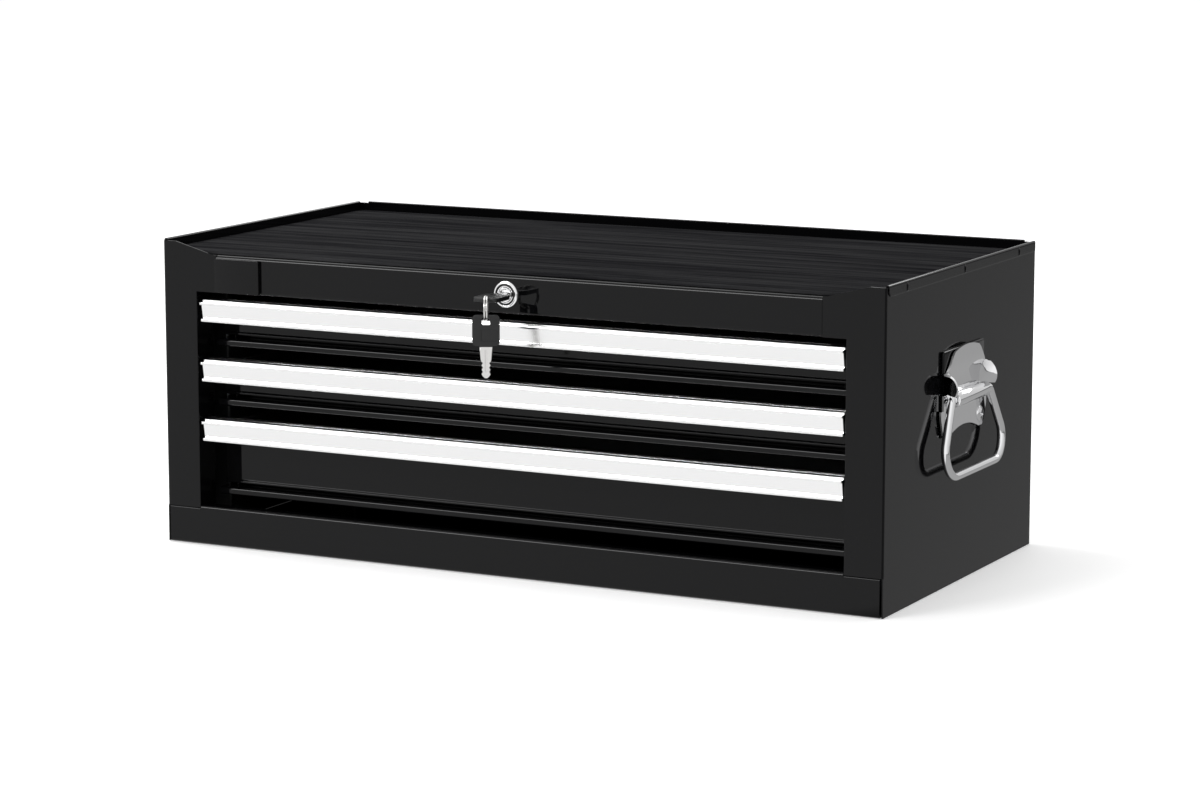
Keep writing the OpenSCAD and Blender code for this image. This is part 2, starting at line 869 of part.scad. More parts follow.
module key_blade() {
    color(chrome) translate([0, key_y + head_len, lock_z])
        blade_shape(key_reach - head_len + keyway_len);
}

// Moves what hangs from the key to its place and turn
module hung() {
    translate([hang_x, hang_y, 0]) rotate([0, 0, ring_turn]) children();
}

module key_ring() {
    color(chrome) hung() translate([0, 0, ring_z]) rotate([0, 90, 0])
        rotate_extrude() translate([ring_r, 0]) circle(d = ring_wire, $fn = 24);
}

module spare_key_head() {
    color(plastic) hung() translate([0, 0, spare_top]) rotate([-90, 0, 0]) head_shape();
}

module spare_key_blade() {
    color(chrome) hung() translate([0, 0, spare_top - head_len]) rotate([-90, 0, 0])
        blade_shape(blade_len);
}

module handle_screw_holes() {
    for (s = [-1, 1]) translate([0, s * screw_y, bail_z - screw_drop])
        bar_x(screw_dia / 2 + turn_gap, half_w - 2 * sheet, bail_x);
}

// Raised pad on the side panel behind the handle
module handle_pad() {
    edge = pad_t / 2;
    color(paint) translate([half_w, 0, pad_z]) along_y(-pad_w / 2, pad_w / 2) polygon([
        [0, -pad_h / 2],
        [pad_t - edge, -pad_h / 2],
        [pad_t, -pad_h / 2 + edge],
        [pad_t, pad_h / 2 - edge],
        [pad_t - edge, pad_h / 2],
        [0, pad_h / 2]
    ]);
}

// Points along an arc in the outline's plane
function arc(centre, r, from, to, steps) =
    [for (i = [0 : steps]) let (a = from + (to - from) * i / steps) centre + r * [cos(a), sin(a)]];

// Stamped plate: crowned top on the pad, lobed foot on the side panel, barrel and stop horns
module handle_plate() {
    shoulder = horn_low + horn_h - bail_z;
    color(chrome) difference() {
        union() {
            along_x(plate_x, plate_x + plate_t) translate([0, bail_z]) polygon(concat(
                arc([0, plate_up - crown_r], crown_r, 90 - crown_half, 90 + crown_half, arc_steps),
                [
                    [-plate_w / 2, shoulder],
                    [-plate_w / 2, -joggle],
                    [plate_w / 2, -joggle],
                    [plate_w / 2, shoulder]
                ]
            ));
            block(
                [half_w, -plate_w / 2, bail_z - joggle],
                [plate_x + plate_t, plate_w / 2, bail_z]
            );
            along_x(half_w, half_w + plate_t) translate([0, bail_z]) polygon(concat(
                [
                    [plate_w / 2, 0],
                    [-plate_w / 2, 0],
                    [-plate_w / 2, -screw_drop],
                    [-lobe_y, -plate_down],
                    [-arch_half, -plate_down]
                ],
                arc([0, arch_d - plate_down - arch_r], arch_r, 90 + arch_angle, 90 - arch_angle, arc_steps),
                [
                    [lobe_y, -plate_down],
                    [plate_w / 2, -screw_drop]
                ]
            ));
            translate([bail_x, 0, bail_z]) bar_y(barrel_r, -barrel_len / 2, barrel_len / 2);
            for (s = [0, 1]) mirror([0, s, 0]) stop_horn();
        }
        translate([bail_x, 0, bail_z]) bar_y(bail_dia / 2 + bail_gap, -plate_w, plate_w);
        handle_screw_holes();
    }
}

// Flared edge of the plate over a barrel's end, which the raised bail comes up against
module stop_horn() {
    y = plate_w / 2;
    intersection() {
        translate([0, 0, horn_low]) linear_extrude(horn_h) folded([
            [plate_x, y - horn_bend - plate_t],
            [plate_x, y],
            [plate_x + horn_reach, y]
        ], -plate_t, [horn_bend]);
        along_y(0, plate_w) polygon(concat(
            [[half_w, horn_low]],
            [for (i = [0 : arc_steps])
                let (a = 90 * i / arc_steps)
                [plate_x + horn_reach * sin(a), horn_low + horn_h * cos(a)]]
        ));
    }
}

module handle_screws() {
    head_x = half_w + plate_t;
    color(zinc) for (s = [-1, 1]) translate([0, s * screw_y, bail_z - screw_drop]) union() {
        bar_x(screw_dia / 2, half_w - 2 * sheet, head_x);
        bar_x(screw_head / 2, head_x, head_x + screw_head_h / 2);
        bar_x(screw_head / 2 - screw_step, head_x, head_x + screw_head_h);
    }
}

// Bail: one closed loop of wire whose top bar turns in the barrel
module bail() {
    half = [[bail_end, 0], [knee_w / 2, -knee_drop], [bail_w / 2, -bail_drop]];
    corners = concat([for (p = half) [-p[0], p[1]]], [for (i = [2 : -1 : 0]) half[i]]);
    radii = [bail_tight, knee_bend, bail_bend, bail_bend, knee_bend, bail_tight];
    count = len(corners);
    loop = [for (i = [0 : count - 1])
        each fold_path(corners[(i + count - 1) % count], corners[i], corners[(i + 1) % count], radii[i])];
    rings = len(loop);
    points = [for (q = loop, k = [0 : wire_sides - 1])
        let (
            a = 360 * k / wire_sides,
            flat = q[0] + bail_dia / 2 * cos(a) * left_of(q[1])
        )
        [bail_dia / 2 * sin(a), flat[0], flat[1]]];
    faces = [for (i = [0 : rings - 1], k = [0 : wire_sides - 1])
        let (
            next = (i + 1) % rings,
            turn = (k + 1) % wire_sides,
            a = i * wire_sides + k,
            b = i * wire_sides + turn,
            c = next * wire_sides + turn,
            d = next * wire_sides + k
        )
        each [[a, c, b], [a, d, c]]];
    color(chrome) translate([bail_x, 0, bail_z]) rotate([0, -bail_lean, 0]) polyhedron(points, faces);
}

module left_handle_pad() {
    mirror([1, 0, 0]) handle_pad();
}

module right_handle_pad() {
    handle_pad();
}

module left_handle_plate() {
    mirror([1, 0, 0]) handle_plate();
}

module right_handle_plate() {
    handle_plate();
}

module left_handle_screws() {
    mirror([1, 0, 0]) handle_screws();
}

module right_handle_screws() {
    handle_screws();
}

module left_bail() {
    mirror([1, 0, 0]) bail();
}

module right_bail() {
    bail();
}

left_side();
right_side();
top_panel();
bottom_panel();
back_panel();
top_mat();
badge_plate();
left_uprights();
right_uprights();
outer_slides(0);  // outer_slides_1
outer_slides(1);  // outer_slides_2
outer_slides(2);  // outer_slides_3
lock_body();
lock_nut();
rod_bracket();
bar_guides();
lock_core();
lock_rod();
lock_bar();
key_blade();
key_head();
key_ring();
spare_key_blade();
spare_key_head();
left_handle_pad();
right_handle_pad();
left_handle_plate();
right_handle_plate();
left_handle_screws();
right_handle_screws();
left_bail();
right_bail();
drawer_tray(0);  // drawer_tray_1
drawer_front(0);  // drawer_front_1
drawer_pull(0);  // drawer_pull_1
drawer_catch(0);  // drawer_catch_1
inner_slides(0);  // inner_slides_1
drawer_tray(1);  // drawer_tray_2
drawer_front(1);  // drawer_front_2
drawer_pull(1);  // drawer_pull_2
drawer_catch(1);  // drawer_catch_2
inner_slides(1);  // inner_slides_2
drawer_tray(2);  // drawer_tray_3
drawer_front(2);  // drawer_front_3
drawer_pull(2);  // drawer_pull_3
drawer_catch(2);  // drawer_catch_3
inner_slides(2);  // inner_slides_3
ball_cages(0);  // ball_cages_1
ball_cages(1);  // ball_cages_2
ball_cages(2);  // ball_cages_3
slide_balls(0);  // slide_balls_1
slide_balls(1);  // slide_balls_2
slide_balls(2);  // slide_balls_3
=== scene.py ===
"""Looks of a three-drawer steel tool cabinet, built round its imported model."""
import math

import bmesh
import bpy
from mathutils import Matrix, Vector


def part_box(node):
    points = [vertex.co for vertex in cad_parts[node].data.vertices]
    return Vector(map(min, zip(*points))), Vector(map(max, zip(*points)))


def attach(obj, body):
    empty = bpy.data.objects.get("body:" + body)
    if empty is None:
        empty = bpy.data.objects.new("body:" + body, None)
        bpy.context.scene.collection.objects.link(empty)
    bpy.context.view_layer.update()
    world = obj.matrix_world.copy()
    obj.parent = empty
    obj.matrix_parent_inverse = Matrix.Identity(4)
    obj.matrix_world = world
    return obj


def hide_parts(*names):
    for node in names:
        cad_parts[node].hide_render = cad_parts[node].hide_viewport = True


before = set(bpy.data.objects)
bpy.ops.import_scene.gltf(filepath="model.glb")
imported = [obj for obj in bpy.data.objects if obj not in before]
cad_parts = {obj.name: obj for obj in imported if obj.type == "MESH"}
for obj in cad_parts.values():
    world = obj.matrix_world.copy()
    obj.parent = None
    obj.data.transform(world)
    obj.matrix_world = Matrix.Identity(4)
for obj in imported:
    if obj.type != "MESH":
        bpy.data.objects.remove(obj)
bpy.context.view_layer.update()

bl_info = {
    "name": "Tool cabinet",
    "version": (1, 0, 0),
    "blender": (4, 5, 0),
    "location": "View3D > Sidebar > Cabinet",
    "description": "Dresses the packed model of a steel tool cabinet with sheet metal, fittings and finishes",
    "category": "Object",
}

MM = 0.001
LOW, HIGH = 0, 1
X, Y, Z = 0, 1, 2


def srgb(text):
    """Linear colour of an sRGB hex value."""
    channels = [int(text[i:i + 2], 16) / 255 for i in (1, 3, 5)]
    return [c / 12.92 if c <= 0.04045 else ((c + 0.055) / 1.055) ** 2.4 for c in channels]


def corners(node):
    """Lower and upper corner of a CAD node's box, in millimetres."""
    return [Vector(corner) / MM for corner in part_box(node)]


def edge(node, end, axis):
    """One face of a CAD node's box, in millimetres."""
    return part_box(node)[end][axis] / MM


def measure(node, axis):
    """One measure of a CAD node's box, in millimetres."""
    return edge(node, HIGH, axis) - edge(node, LOW, axis)


def put(name, data):
    """A new object in the scene."""
    made = bpy.data.objects.new(name, data)
    bpy.context.scene.collection.objects.link(made)
    return made


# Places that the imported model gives, in millimetres
HALF_W = edge("right_side", HIGH, X)
FRONT = edge("right_side", LOW, Y)
BACK = edge("right_side", HIGH, Y)
SIDE_TOP = edge("right_side", HIGH, Z)
EAR_X = edge("right_side", LOW, X)
RIM_Z = edge("top_panel", HIGH, Z)
OPEN_HIGH = edge("top_panel", LOW, Z)
BOTTOM_RAIL = edge("bottom_panel", HIGH, Z)
MAT_LOW = edge("top_mat", LOW, Z)
FRONT_HALF = edge("drawer_front_1", HIGH, X)
PULL_HALF = edge("drawer_pull_1", HIGH, X)
TRAY_HALF = edge("drawer_tray_1", HIGH, X)
TRAY_FRONT = edge("drawer_tray_1", LOW, Y)
TRAY_BACK = edge("drawer_tray_1", HIGH, Y)
LOCK_Z = (edge("lock_body", LOW, Z) + edge("lock_body", HIGH, Z)) / 2
PLATE_X = edge("right_handle_pad", HIGH, X)
# Sizes of the sheet metal, in millimetres
SHEET = 1.0
FOLD = 2.5
SEAM = 0.3
PILLAR_W = 33.0
OPEN_X = HALF_W - PILLAR_W
PILLAR_RETURN = 26.0
PILLAR_LIP = 8.0
PILLAR_EDGE = 0.8
PILLAR_LOW = 31.5
EAR_FLAT = 13.0
EAR_DROP = 10.5
RAIL_RETURN = 12.0
REAR_FLANGE = 15.0
DRAWERS = (1, 2, 3)
# Turns a plate drawn in X and Y to stand on the right-hand side: X to Y, Y to Z, Z to X
ON_SIDE = Matrix(((0, 0, 1, 0), (1, 0, 0, 0), (0, 1, 0, 0), (0, 0, 0, 1)))


class CabinetSizes(bpy.types.PropertyGroup):
    """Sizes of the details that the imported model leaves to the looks."""
    crimp_w: bpy.props.FloatProperty(
        name="Crimp width", description="Width of a crimp in the hem over a side panel",
        default=4 * MM, unit="LENGTH")
    crimp_h: bpy.props.FloatProperty(
        name="Crimp height", description="Height of a crimp in the hem",
        default=0.8 * MM, unit="LENGTH")
    cut_edge: bpy.props.FloatProperty(
        name="Cut edge", description="Rounding that paint leaves on a cut edge of the sheet",
        default=0.28 * MM, unit="LENGTH")
    pull_edge: bpy.props.FloatProperty(
        name="Pull edge", description="Rounding of the edges of an extruded pull",
        default=0.35 * MM, unit="LENGTH")
    bail_wire: bpy.props.FloatProperty(
        name="Bail wire", description="Diameter of the wire of a drop handle",
        default=7 * MM, unit="LENGTH")


class CabinetColours(bpy.types.PropertyGroup):
    """Colours of the finishes."""
    enamel: bpy.props.FloatVectorProperty(
        name="Enamel", description="Gloss paint of the body and the drawer fronts",
        subtype="COLOR", default=srgb("#060607"))
    inner_enamel: bpy.props.FloatVectorProperty(
        name="Inner enamel", description="Thinner paint of the drawer trays and the frame inside",
        subtype="COLOR", default=srgb("#151617"))
    rubber: bpy.props.FloatVectorProperty(
        name="Mat rubber", description="Foamed rubber of the mat on the tray",
        subtype="COLOR", default=srgb("#343435"))
    aluminium: bpy.props.FloatVectorProperty(
        name="Aluminium", description="Anodised pulls",
        subtype="COLOR", default=srgb("#f1f1f1"))
    chrome: bpy.props.FloatVectorProperty(
        name="Chrome", description="Plated lock and handles",
        subtype="COLOR", default=srgb("#f0f0f1"))
    nickel: bpy.props.FloatVectorProperty(
        name="Nickel", description="Plated key blades and split ring",
        subtype="COLOR", default=srgb("#d8d7d5"))
    zinc: bpy.props.FloatVectorProperty(
        name="Zinc", description="Plated slides, lock bar and screws",
        subtype="COLOR", default=srgb("#b4b8be"))
    plastic: bpy.props.FloatVectorProperty(
        name="Plastic", description="Moulded key heads and the seal in the bezel",
        subtype="COLOR", default=srgb("#0b0b0c"))
    floor: bpy.props.FloatVectorProperty(
        name="Floor", description="Pale studio floor",
        subtype="COLOR", default=srgb("#fdfdfd"))


class CabinetStudio(bpy.types.PropertyGroup):
    """Camera and light."""
    lens: bpy.props.FloatProperty(
        name="Lens", description="Focal length of the camera", default=108.86, unit="CAMERA")
    sky: bpy.props.FloatProperty(
        name="Sky", description="Level of the even light from all round", default=0.78)
    strips: bpy.props.FloatProperty(
        name="Strips", description="Power of each strip lamp", default=18, unit="POWER")


# Finishes

def add_node(tree, kind, links=None, values=None, **settings):
    """Adds a node with its settings, input values and the links that feed it."""
    made = tree.nodes.new(kind)
    for name, value in settings.items():
        setattr(made, name, value)
    for socket, value in (values or {}).items():
        made.inputs[socket].default_value = value
    for socket, source in (links or {}).items():
        tree.links.new(source, made.inputs[socket])
    return made


def start_finish(name, colour, **inputs):
    """A new material with its shader; returns the material, its tree, its shader and object coordinates."""
    made = bpy.data.materials.new(name)
    made.use_nodes = True
    tree = made.node_tree
    shader = tree.nodes["Principled BSDF"]
    shader.inputs["Base Color"].default_value = (*colour, 1)
    for socket, value in inputs.items():
        shader.inputs[socket.replace("_", " ")].default_value = value
    place = add_node(tree, "ShaderNodeTexCoord").outputs["Object"]
    return made, tree, shader, place


def per_mm(size):
    """Texture scale that gives a pattern of that size in millimetres."""
    return 1 / (size * MM)


def vary_roughness(tree, shader, source, low, high):
    ranged = add_node(tree, "ShaderNodeMapRange", {"Value": source},
                      {"From Min": 0.3, "From Max": 0.7, "To Min": low, "To Max": high})
    tree.links.new(ranged.outputs["Result"], shader.inputs["Roughness"])


def black_enamel():
    """Stoved gloss enamel: near black, mirror-like, with a faint orange peel."""
    made, tree, shader, place = start_finish("black_enamel", colours().enamel, IOR=1.3)
    peel = add_node(tree, "ShaderNodeTexNoise", {"Vector": place},
                    {"Scale": per_mm(2.5), "Detail": 1.0, "Roughness": 0.4})
    bump = add_node(tree, "ShaderNodeBump", {"Height": peel.outputs["Fac"]},
                    {"Strength": 0.01, "Distance": 0.1 * MM})
    tree.links.new(bump.outputs["Normal"], shader.inputs["Normal"])
    cloud = add_node(tree, "ShaderNodeTexNoise", {"Vector": place}, {"Scale": per_mm(90), "Detail": 3.0})
    vary_roughness(tree, shader, cloud.outputs["Fac"], 0.03, 0.06)
    return made


def inner_enamel():
    """Thin satin coat on the inside steel, with a grain of fine overspray."""
    made, tree, shader, place = start_finish("inner_enamel", colours().inner_enamel, IOR=1.4)
    spray = add_node(tree, "ShaderNodeTexNoise", {"Vector": place}, {"Scale": per_mm(1.2), "Detail": 2.0})
    bump = add_node(tree, "ShaderNodeBump", {"Height": spray.outputs["Fac"]},
                    {"Strength": 0.08, "Distance": 0.1 * MM})
    tree.links.new(bump.outputs["Normal"], shader.inputs["Normal"])
    cloud = add_node(tree, "ShaderNodeTexNoise", {"Vector": place}, {"Scale": per_mm(60), "Detail": 3.0})
    vary_roughness(tree, shader, cloud.outputs["Fac"], 0.28, 0.42)
    return made


def mat_rubber():
    """Foamed rubber sheet: matt, fine ribs along its length and faint drag streaks."""
    made, tree, shader, place = start_finish("mat_rubber", colours().rubber, Specular_IOR_Level=0.0)
    long = add_node(tree, "ShaderNodeMapping", {"Vector": place}, {"Scale": (0.03, 1, 1)})
    streak = add_node(tree, "ShaderNodeTexNoise", {"Vector": long.outputs["Vector"]},
                      {"Scale": per_mm(8), "Detail": 5.0, "Roughness": 0.8})
    tone = add_node(tree, "ShaderNodeValToRGB", {"Fac": streak.outputs["Fac"]})
    tone.color_ramp.elements[0].position = 0.4
    tone.color_ramp.elements[0].color = (*srgb("#18181a"), 1)
    tone.color_ramp.elements[1].position = 0.66
    tone.color_ramp.elements[1].color = (*colours().rubber, 1)
    tree.links.new(tone.outputs["Color"], shader.inputs["Base Color"])
    # Cells of the foam are finer than a pixel, so they are drawn at 1.6 mm
    cells = add_node(tree, "ShaderNodeTexVoronoi", {"Vector": place}, {"Scale": per_mm(1.6)})
    ribs = add_node(tree, "ShaderNodeTexWave", {"Vector": place},
                    {"Scale": per_mm(3.0) / 20, "Distortion": 0.0}, bands_direction="Y")
    both = add_node(tree, "ShaderNodeMath", {0: cells.outputs["Distance"], 1: ribs.outputs["Fac"]},
                    operation="ADD")
    bump = add_node(tree, "ShaderNodeBump", {"Height": both.outputs["Value"]},
                    {"Strength": 0.35, "Distance": 0.4 * MM})
    tree.links.new(bump.outputs["Normal"], shader.inputs["Normal"])
    vary_roughness(tree, shader, streak.outputs["Fac"], 0.75, 0.9)
    return made


def anodised_aluminium():
    """Extruded and satin anodised: nearly white, with die lines along its length."""
    made, tree, shader, place = start_finish("anodised_aluminium", colours().aluminium, Metallic=1.0)
    long = add_node(tree, "ShaderNodeMapping", {"Vector": place}, {"Scale": (0.0008, 1, 1)})
    lines = add_node(tree, "ShaderNodeTexNoise", {"Vector": long.outputs["Vector"]},
                     {"Scale": per_mm(0.7), "Detail": 2.0})
    bump = add_node(tree, "ShaderNodeBump", {"Height": lines.outputs["Fac"]},
                    {"Strength": 0.03, "Distance": 0.1 * MM})
    tree.links.new(bump.outputs["Normal"], shader.inputs["Normal"])
    vary_roughness(tree, shader, lines.outputs["Fac"], 0.13, 0.19)
    return made


def plated(name, colour, rough_low, rough_high, cloud_mm, grain):
    """A plated metal whose sheen varies in soft clouds over a fine grain."""
    made, tree, shader, place = start_finish(name, colour, Metallic=1.0)
    cloud = add_node(tree, "ShaderNodeTexNoise", {"Vector": place},
                     {"Scale": per_mm(cloud_mm), "Detail": 3.0})
    vary_roughness(tree, shader, cloud.outputs["Fac"], rough_low, rough_high)
    fine = add_node(tree, "ShaderNodeTexNoise", {"Vector": place}, {"Scale": per_mm(0.8), "Detail": 2.0})
    bump = add_node(tree, "ShaderNodeBump", {"Height": fine.outputs["Fac"]},
                    {"Strength": grain, "Distance": 0.1 * MM})
    tree.links.new(bump.outputs["Normal"], shader.inputs["Normal"])
    return made


def bright_chrome():
    """Chrome over stamped steel: a mirror with the slight waves of the stamping."""
    return plated("bright_chrome", colours().chrome, 0.03, 0.07, 8, 0.01)


def bright_nickel():
    """Nickel on brass keys and spring wire: a little duller and warmer than chrome."""
    return plated("bright_nickel", colours().nickel, 0.1, 0.18, 5, 0.03)


def passivated_zinc():
    """Clear passivated zinc on rolled steel: grey, soft, slightly cloudy."""
    return plated("passivated_zinc", colours().zinc, 0.26, 0.42, 10, 0.08)


def ground_steel():
    """Hardened and ground bearing steel: small bright mirrors."""
    return plated("ground_steel", srgb("#c4c6c9"), 0.06, 0.12, 3, 0.0)


def moulded_plastic():
    """Injection-moulded ABS: black, with a fine sparked grain."""
    made, tree, shader, place = start_finish("moulded_plastic", colours().plastic, IOR=1.46)
    grain = add_node(tree, "ShaderNodeTexNoise", {"Vector": place}, {"Scale": per_mm(0.5), "Detail": 1.0})
    bump = add_node(tree, "ShaderNodeBump", {"Height": grain.outputs["Fac"]},
                    {"Strength": 0.08, "Distance": 0.1 * MM})
    tree.links.new(bump.outputs["Normal"], shader.inputs["Normal"])
    vary_roughness(tree, shader, grain.outputs["Fac"], 0.28, 0.4)
    return made


FINISHES = {
    "enamel": black_enamel, "inner_enamel": inner_enamel, "mat": mat_rubber,
    "aluminium": anodised_aluminium, "chrome": bright_chrome, "nickel": bright_nickel,
    "zinc": passivated_zinc, "steel": ground_steel, "plastic": moulded_plastic,
}
made_finishes = {}


def finish_of(slot):
    if slot not in made_finishes:
        made_finishes[slot] = FINISHES[slot]()
    return made_finishes[slot]


def sizes():
    return bpy.context.scene.cabinet_sizes


def colours():
    return bpy.context.scene.cabinet_colours


# Shapes, all in millimetres

def bend(points, radii, steps=6):
    """A polyline whose inner corners are rounded; a radius of 0 keeps the corner as one point."""
    out = [Vector(points[0])]
    for before, corner, after, radius in zip(points, points[1:], points[2:], radii):
        p = Vector(corner)
        if radius == 0:
            out.append(p)
            continue
        a, b = (p - Vector(before)).normalized(), (Vector(after) - p).normalized()
        turn = math.atan2(a[0] * b[1] - a[1] * b[0], a.dot(b))
        side = 1 if turn > 0 else -1
        start = math.atan2(a[1], a[0])
        centre = p - a * radius * math.tan(abs(turn) / 2) + Vector((-a[1], a[0])) * side * radius
        for i in range(steps + 1):
            heading = start + turn * i / steps
            out.append(centre - Vector((-math.sin(heading), math.cos(heading))) * side * radius)
    out.append(Vector(points[-1]))
    return out


class Shape:
    """Points and faces of a mesh that is being put together."""

    def __init__(self):
        self.points, self.faces = [], []

    def rows(self, rows, closed=False):
        """A sheet through rows of points, each row as long as the next."""
        first, width = len(self.points), len(rows[0])
        self.points += [Vector(p) for row in rows for p in row]
        for i in range(len(rows) - 1):
            for k in range(width if closed else width - 1):
                a, b = first + i * width + k, first + i * width + (k + 1) % width
                self.faces.append((a, b, b + width, a + width))
        return self

    def face(self, points):
        first = len(self.points)
        self.points += [Vector(p) for p in points]
        self.faces.append(tuple(range(first, first + len(points))))
        return self

    def along_x(self, path, *xs):
        """A path in Y and Z pulled through places along X; its left is the outside."""
        return self.rows([[(x, p[0], p[1]) for x in xs] for p in path])

    def along_y(self, path, *ys):
        """A path in X and Z pulled through places along Y; its left is the outside."""
        return self.rows([[(p[0], y, p[1]) for p in path] for y in ys])

    def upright(self, path, lows, highs):
        """A path in X and Y pulled up; its right is the outside."""
        return self.rows([[(p[0], p[1], z) for p, z in zip(path, lows)],
                          [(p[0], p[1], z) for p, z in zip(path, highs)]])

    def lathe(self, profile, turns=48):
        """A profile of (radius, Y) turned about the Y axis; a radius of 0 closes it."""
        rows = []
        for k in range(turns):
            a = 2 * math.pi * k / turns
            rows.append([(r * math.cos(a), y, r * math.sin(a)) for r, y in profile])
        return self.rows(rows + rows[:1])

    def tube(self, path, radius, sides=16, closed=False):
        """A round wire along a path of points."""
        path = [Vector(p) for p in path]
        count = len(path)
        rings, side = [], None
        for i, p in enumerate(path):
            if closed:
                heading = (path[(i + 1) % count] - path[i - 1]).normalized()
            else:
                heading = (path[min(i + 1, count - 1)] - path[max(i - 1, 0)]).normalized()
            if side is None:
                side = heading.orthogonal().normalized()
            side = (side - heading * side.dot(heading)).normalized()
            other = heading.cross(side)
            rings.append([p + radius * (math.cos(2 * math.pi * k / sides) * side
                                        + math.sin(2 * math.pi * k / sides) * other) for k in range(sides)])
        if closed:
            return self.rows(rings + rings[:1], closed=True)
        self.rows(rings, closed=True)
        self.face(list(reversed(rings[0])))
        return self.face(rings[-1])

    def add(self, other):
        """Takes in the points and faces of another shape."""
        first = len(self.points)
        self.points += other.points
        self.faces += [tuple(first + i for i in face) for face in other.faces]
        return self

    def moved(self, matrix):
        self.points = [matrix @ p for p in self.points]
        return self

    def mirrored(self):
        """The twin on the left-hand side."""
        twin = Shape()
        twin.points = [Vector((-p[0], p[1], p[2])) for p in self.points]
        twin.faces = [tuple(reversed(f)) for f in self.faces]
        return twin

    def with_twin(self):
        return self.add(self.mirrored())


def shape_of(holder):
    """The shape of an object with its modifiers."""
    solid = bpy.data.meshes.new_from_object(holder.evaluated_get(bpy.context.evaluated_depsgraph_get()))
    shape = Shape()
    shape.points = [Vector(v.co) / MM for v in solid.vertices]
    shape.faces = [tuple(f.vertices) for f in solid.polygons]
    bpy.data.meshes.remove(solid)
    return shape


def outline_plate(loops, thickness, rounding):
    """A flat plate in X and Y with holes and rounded edges, lying on Z = 0."""
    curve = bpy.data.curves.new("outline", "CURVE")
    curve.dimensions, curve.fill_mode = "2D", "BOTH"
    curve.extrude = (thickness / 2 - rounding) * MM
    curve.bevel_depth, curve.bevel_resolution = rounding * MM, 2
    curve.offset = -rounding * MM
    for loop in loops:
        spline = curve.splines.new("POLY")
        spline.points.add(len(loop) - 1)
        for point, p in zip(spline.points, loop):
            point.co = (p[0] * MM, p[1] * MM, 0, 1)
        spline.use_cyclic_u = True
    holder = put("outline", curve)
    shape = shape_of(holder).moved(Matrix.Translation((0, 0, thickness / 2)))
    bpy.data.objects.remove(holder)
    bpy.data.curves.remove(curve)
    return shape


def layered_plate(loops, recesses, thickness, relief, rounding):
    """A plate on Z = 0 whose lower face has shallow recesses."""
    plate = outline_plate(loops, thickness - relief, rounding).moved(Matrix.Translation((0, 0, relief)))
    face = outline_plate(loops + recesses, 2 * relief, relief / 2)
    return plate.add(face)


def mesh_of(name, shape, closed):
    """A mesh with its doubled points joined; the faces of a closed one are turned outwards."""
    mesh = bpy.data.meshes.new(name)
    mesh.from_pydata([p * MM for p in shape.points], [], shape.faces)
    work = bmesh.new()
    work.from_mesh(mesh)
    bmesh.ops.remove_doubles(work, verts=work.verts, dist=0.002 * MM)
    bmesh.ops.dissolve_degenerate(work, edges=work.edges, dist=0.001 * MM)
    if closed:
        bmesh.ops.recalc_face_normals(work, faces=work.faces)
    work.to_mesh(mesh)
    work.free()
    return mesh


def cut(shape, tool):
    """The shape less the tool; both are closed."""
    body, cutter = (put("work", mesh_of("work", part, closed=True)) for part in (shape, tool))
    body.modifiers.new("Cut", "BOOLEAN").object = cutter
    rest = shape_of(body)
    for used in (body, cutter):
        mesh = used.data
        bpy.data.objects.remove(used)
        bpy.data.meshes.remove(mesh)
    return rest


def rounded_loop(points, radii, steps=6):
    """A closed outline whose corners are rounded."""
    count = len(points)
    loop = []
    for i in range(count):
        part = bend([points[i - 1], points[i], points[(i + 1) % count]], [radii[i]], steps)
        loop += part[1:-1]
    return loop


def rounded_box(low_x, low_y, high_x, high_y, radius):
    """A closed rectangle with rounded corners."""
    return rounded_loop([(low_x, low_y), (high_x, low_y), (high_x, high_y), (low_x, high_y)], [radius] * 4)


def in_box(low, high):
    """A closed block between two corners."""
    (x0, y0, z0), (x1, y1, z1) = low, high
    loop = [(x0, y0), (x1, y0), (x1, y1), (x0, y1)]
    shape = Shape().rows([[(x, y, z) for x, y in loop] for z in (z0, z1)], closed=True)
    shape.face([(x, y, z0) for x, y in reversed(loop)])
    return shape.face([(x, y, z1) for x, y in loop])


def pan_head(radius, height):
    """A screw's domed head on Z = 0 with a cross recess."""
    rim, steps = 0.22 * height, 8
    slopes = [math.pi / 2 * k / steps for k in range(1, steps)]
    dome = [(radius * math.sin(a), rim + (height - rim) * math.cos(a) ** 0.8) for a in slopes]
    head = Shape().lathe([(0, height), *dome, (radius, rim), (radius, 0), (0, 0)])
    head.moved(Matrix.Rotation(math.pi / 2, 4, "X"))
    arm, blade = 0.62 * radius, 0.13 * radius
    for half_x, half_y in ((arm, blade), (blade, arm)):
        head = cut(head, in_box((-half_x, -half_y, 0.35 * height), (half_x, half_y, 2 * height)))
    return head


def add_piece(name, shape, slot, body, stands_for=(), gauge=0.0, rounding=0.0, smooth=40):
    """Makes a piece of the shape: gauge thickens an open sheet inwards, rounding eases its edges."""
    mesh = mesh_of(name, shape, closed=not gauge)
    mesh.shade_smooth()
    mesh.set_sharp_from_angle(angle=math.radians(smooth))
    made = put(name, mesh)
    if gauge:
        sheet = made.modifiers.new("Sheet", "SOLIDIFY")
        sheet.thickness, sheet.offset = gauge * MM, -1
        sheet.use_even_offset = sheet.use_quality_normals = True
    if rounding:
        ease = made.modifiers.new("Edges", "BEVEL")
        ease.width, ease.segments = rounding * MM, 2
        ease.limit_method, ease.angle_limit = "ANGLE", math.radians(smooth)
        ease.use_clamp_overlap = True
    if gauge or rounding:
        made.modifiers.new("Shading", "WEIGHTED_NORMAL").keep_sharp = not rounding
    made.data.materials.append(finish_of(slot))
    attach(made, body)
    if stands_for:
        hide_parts(*stands_for)
    return made


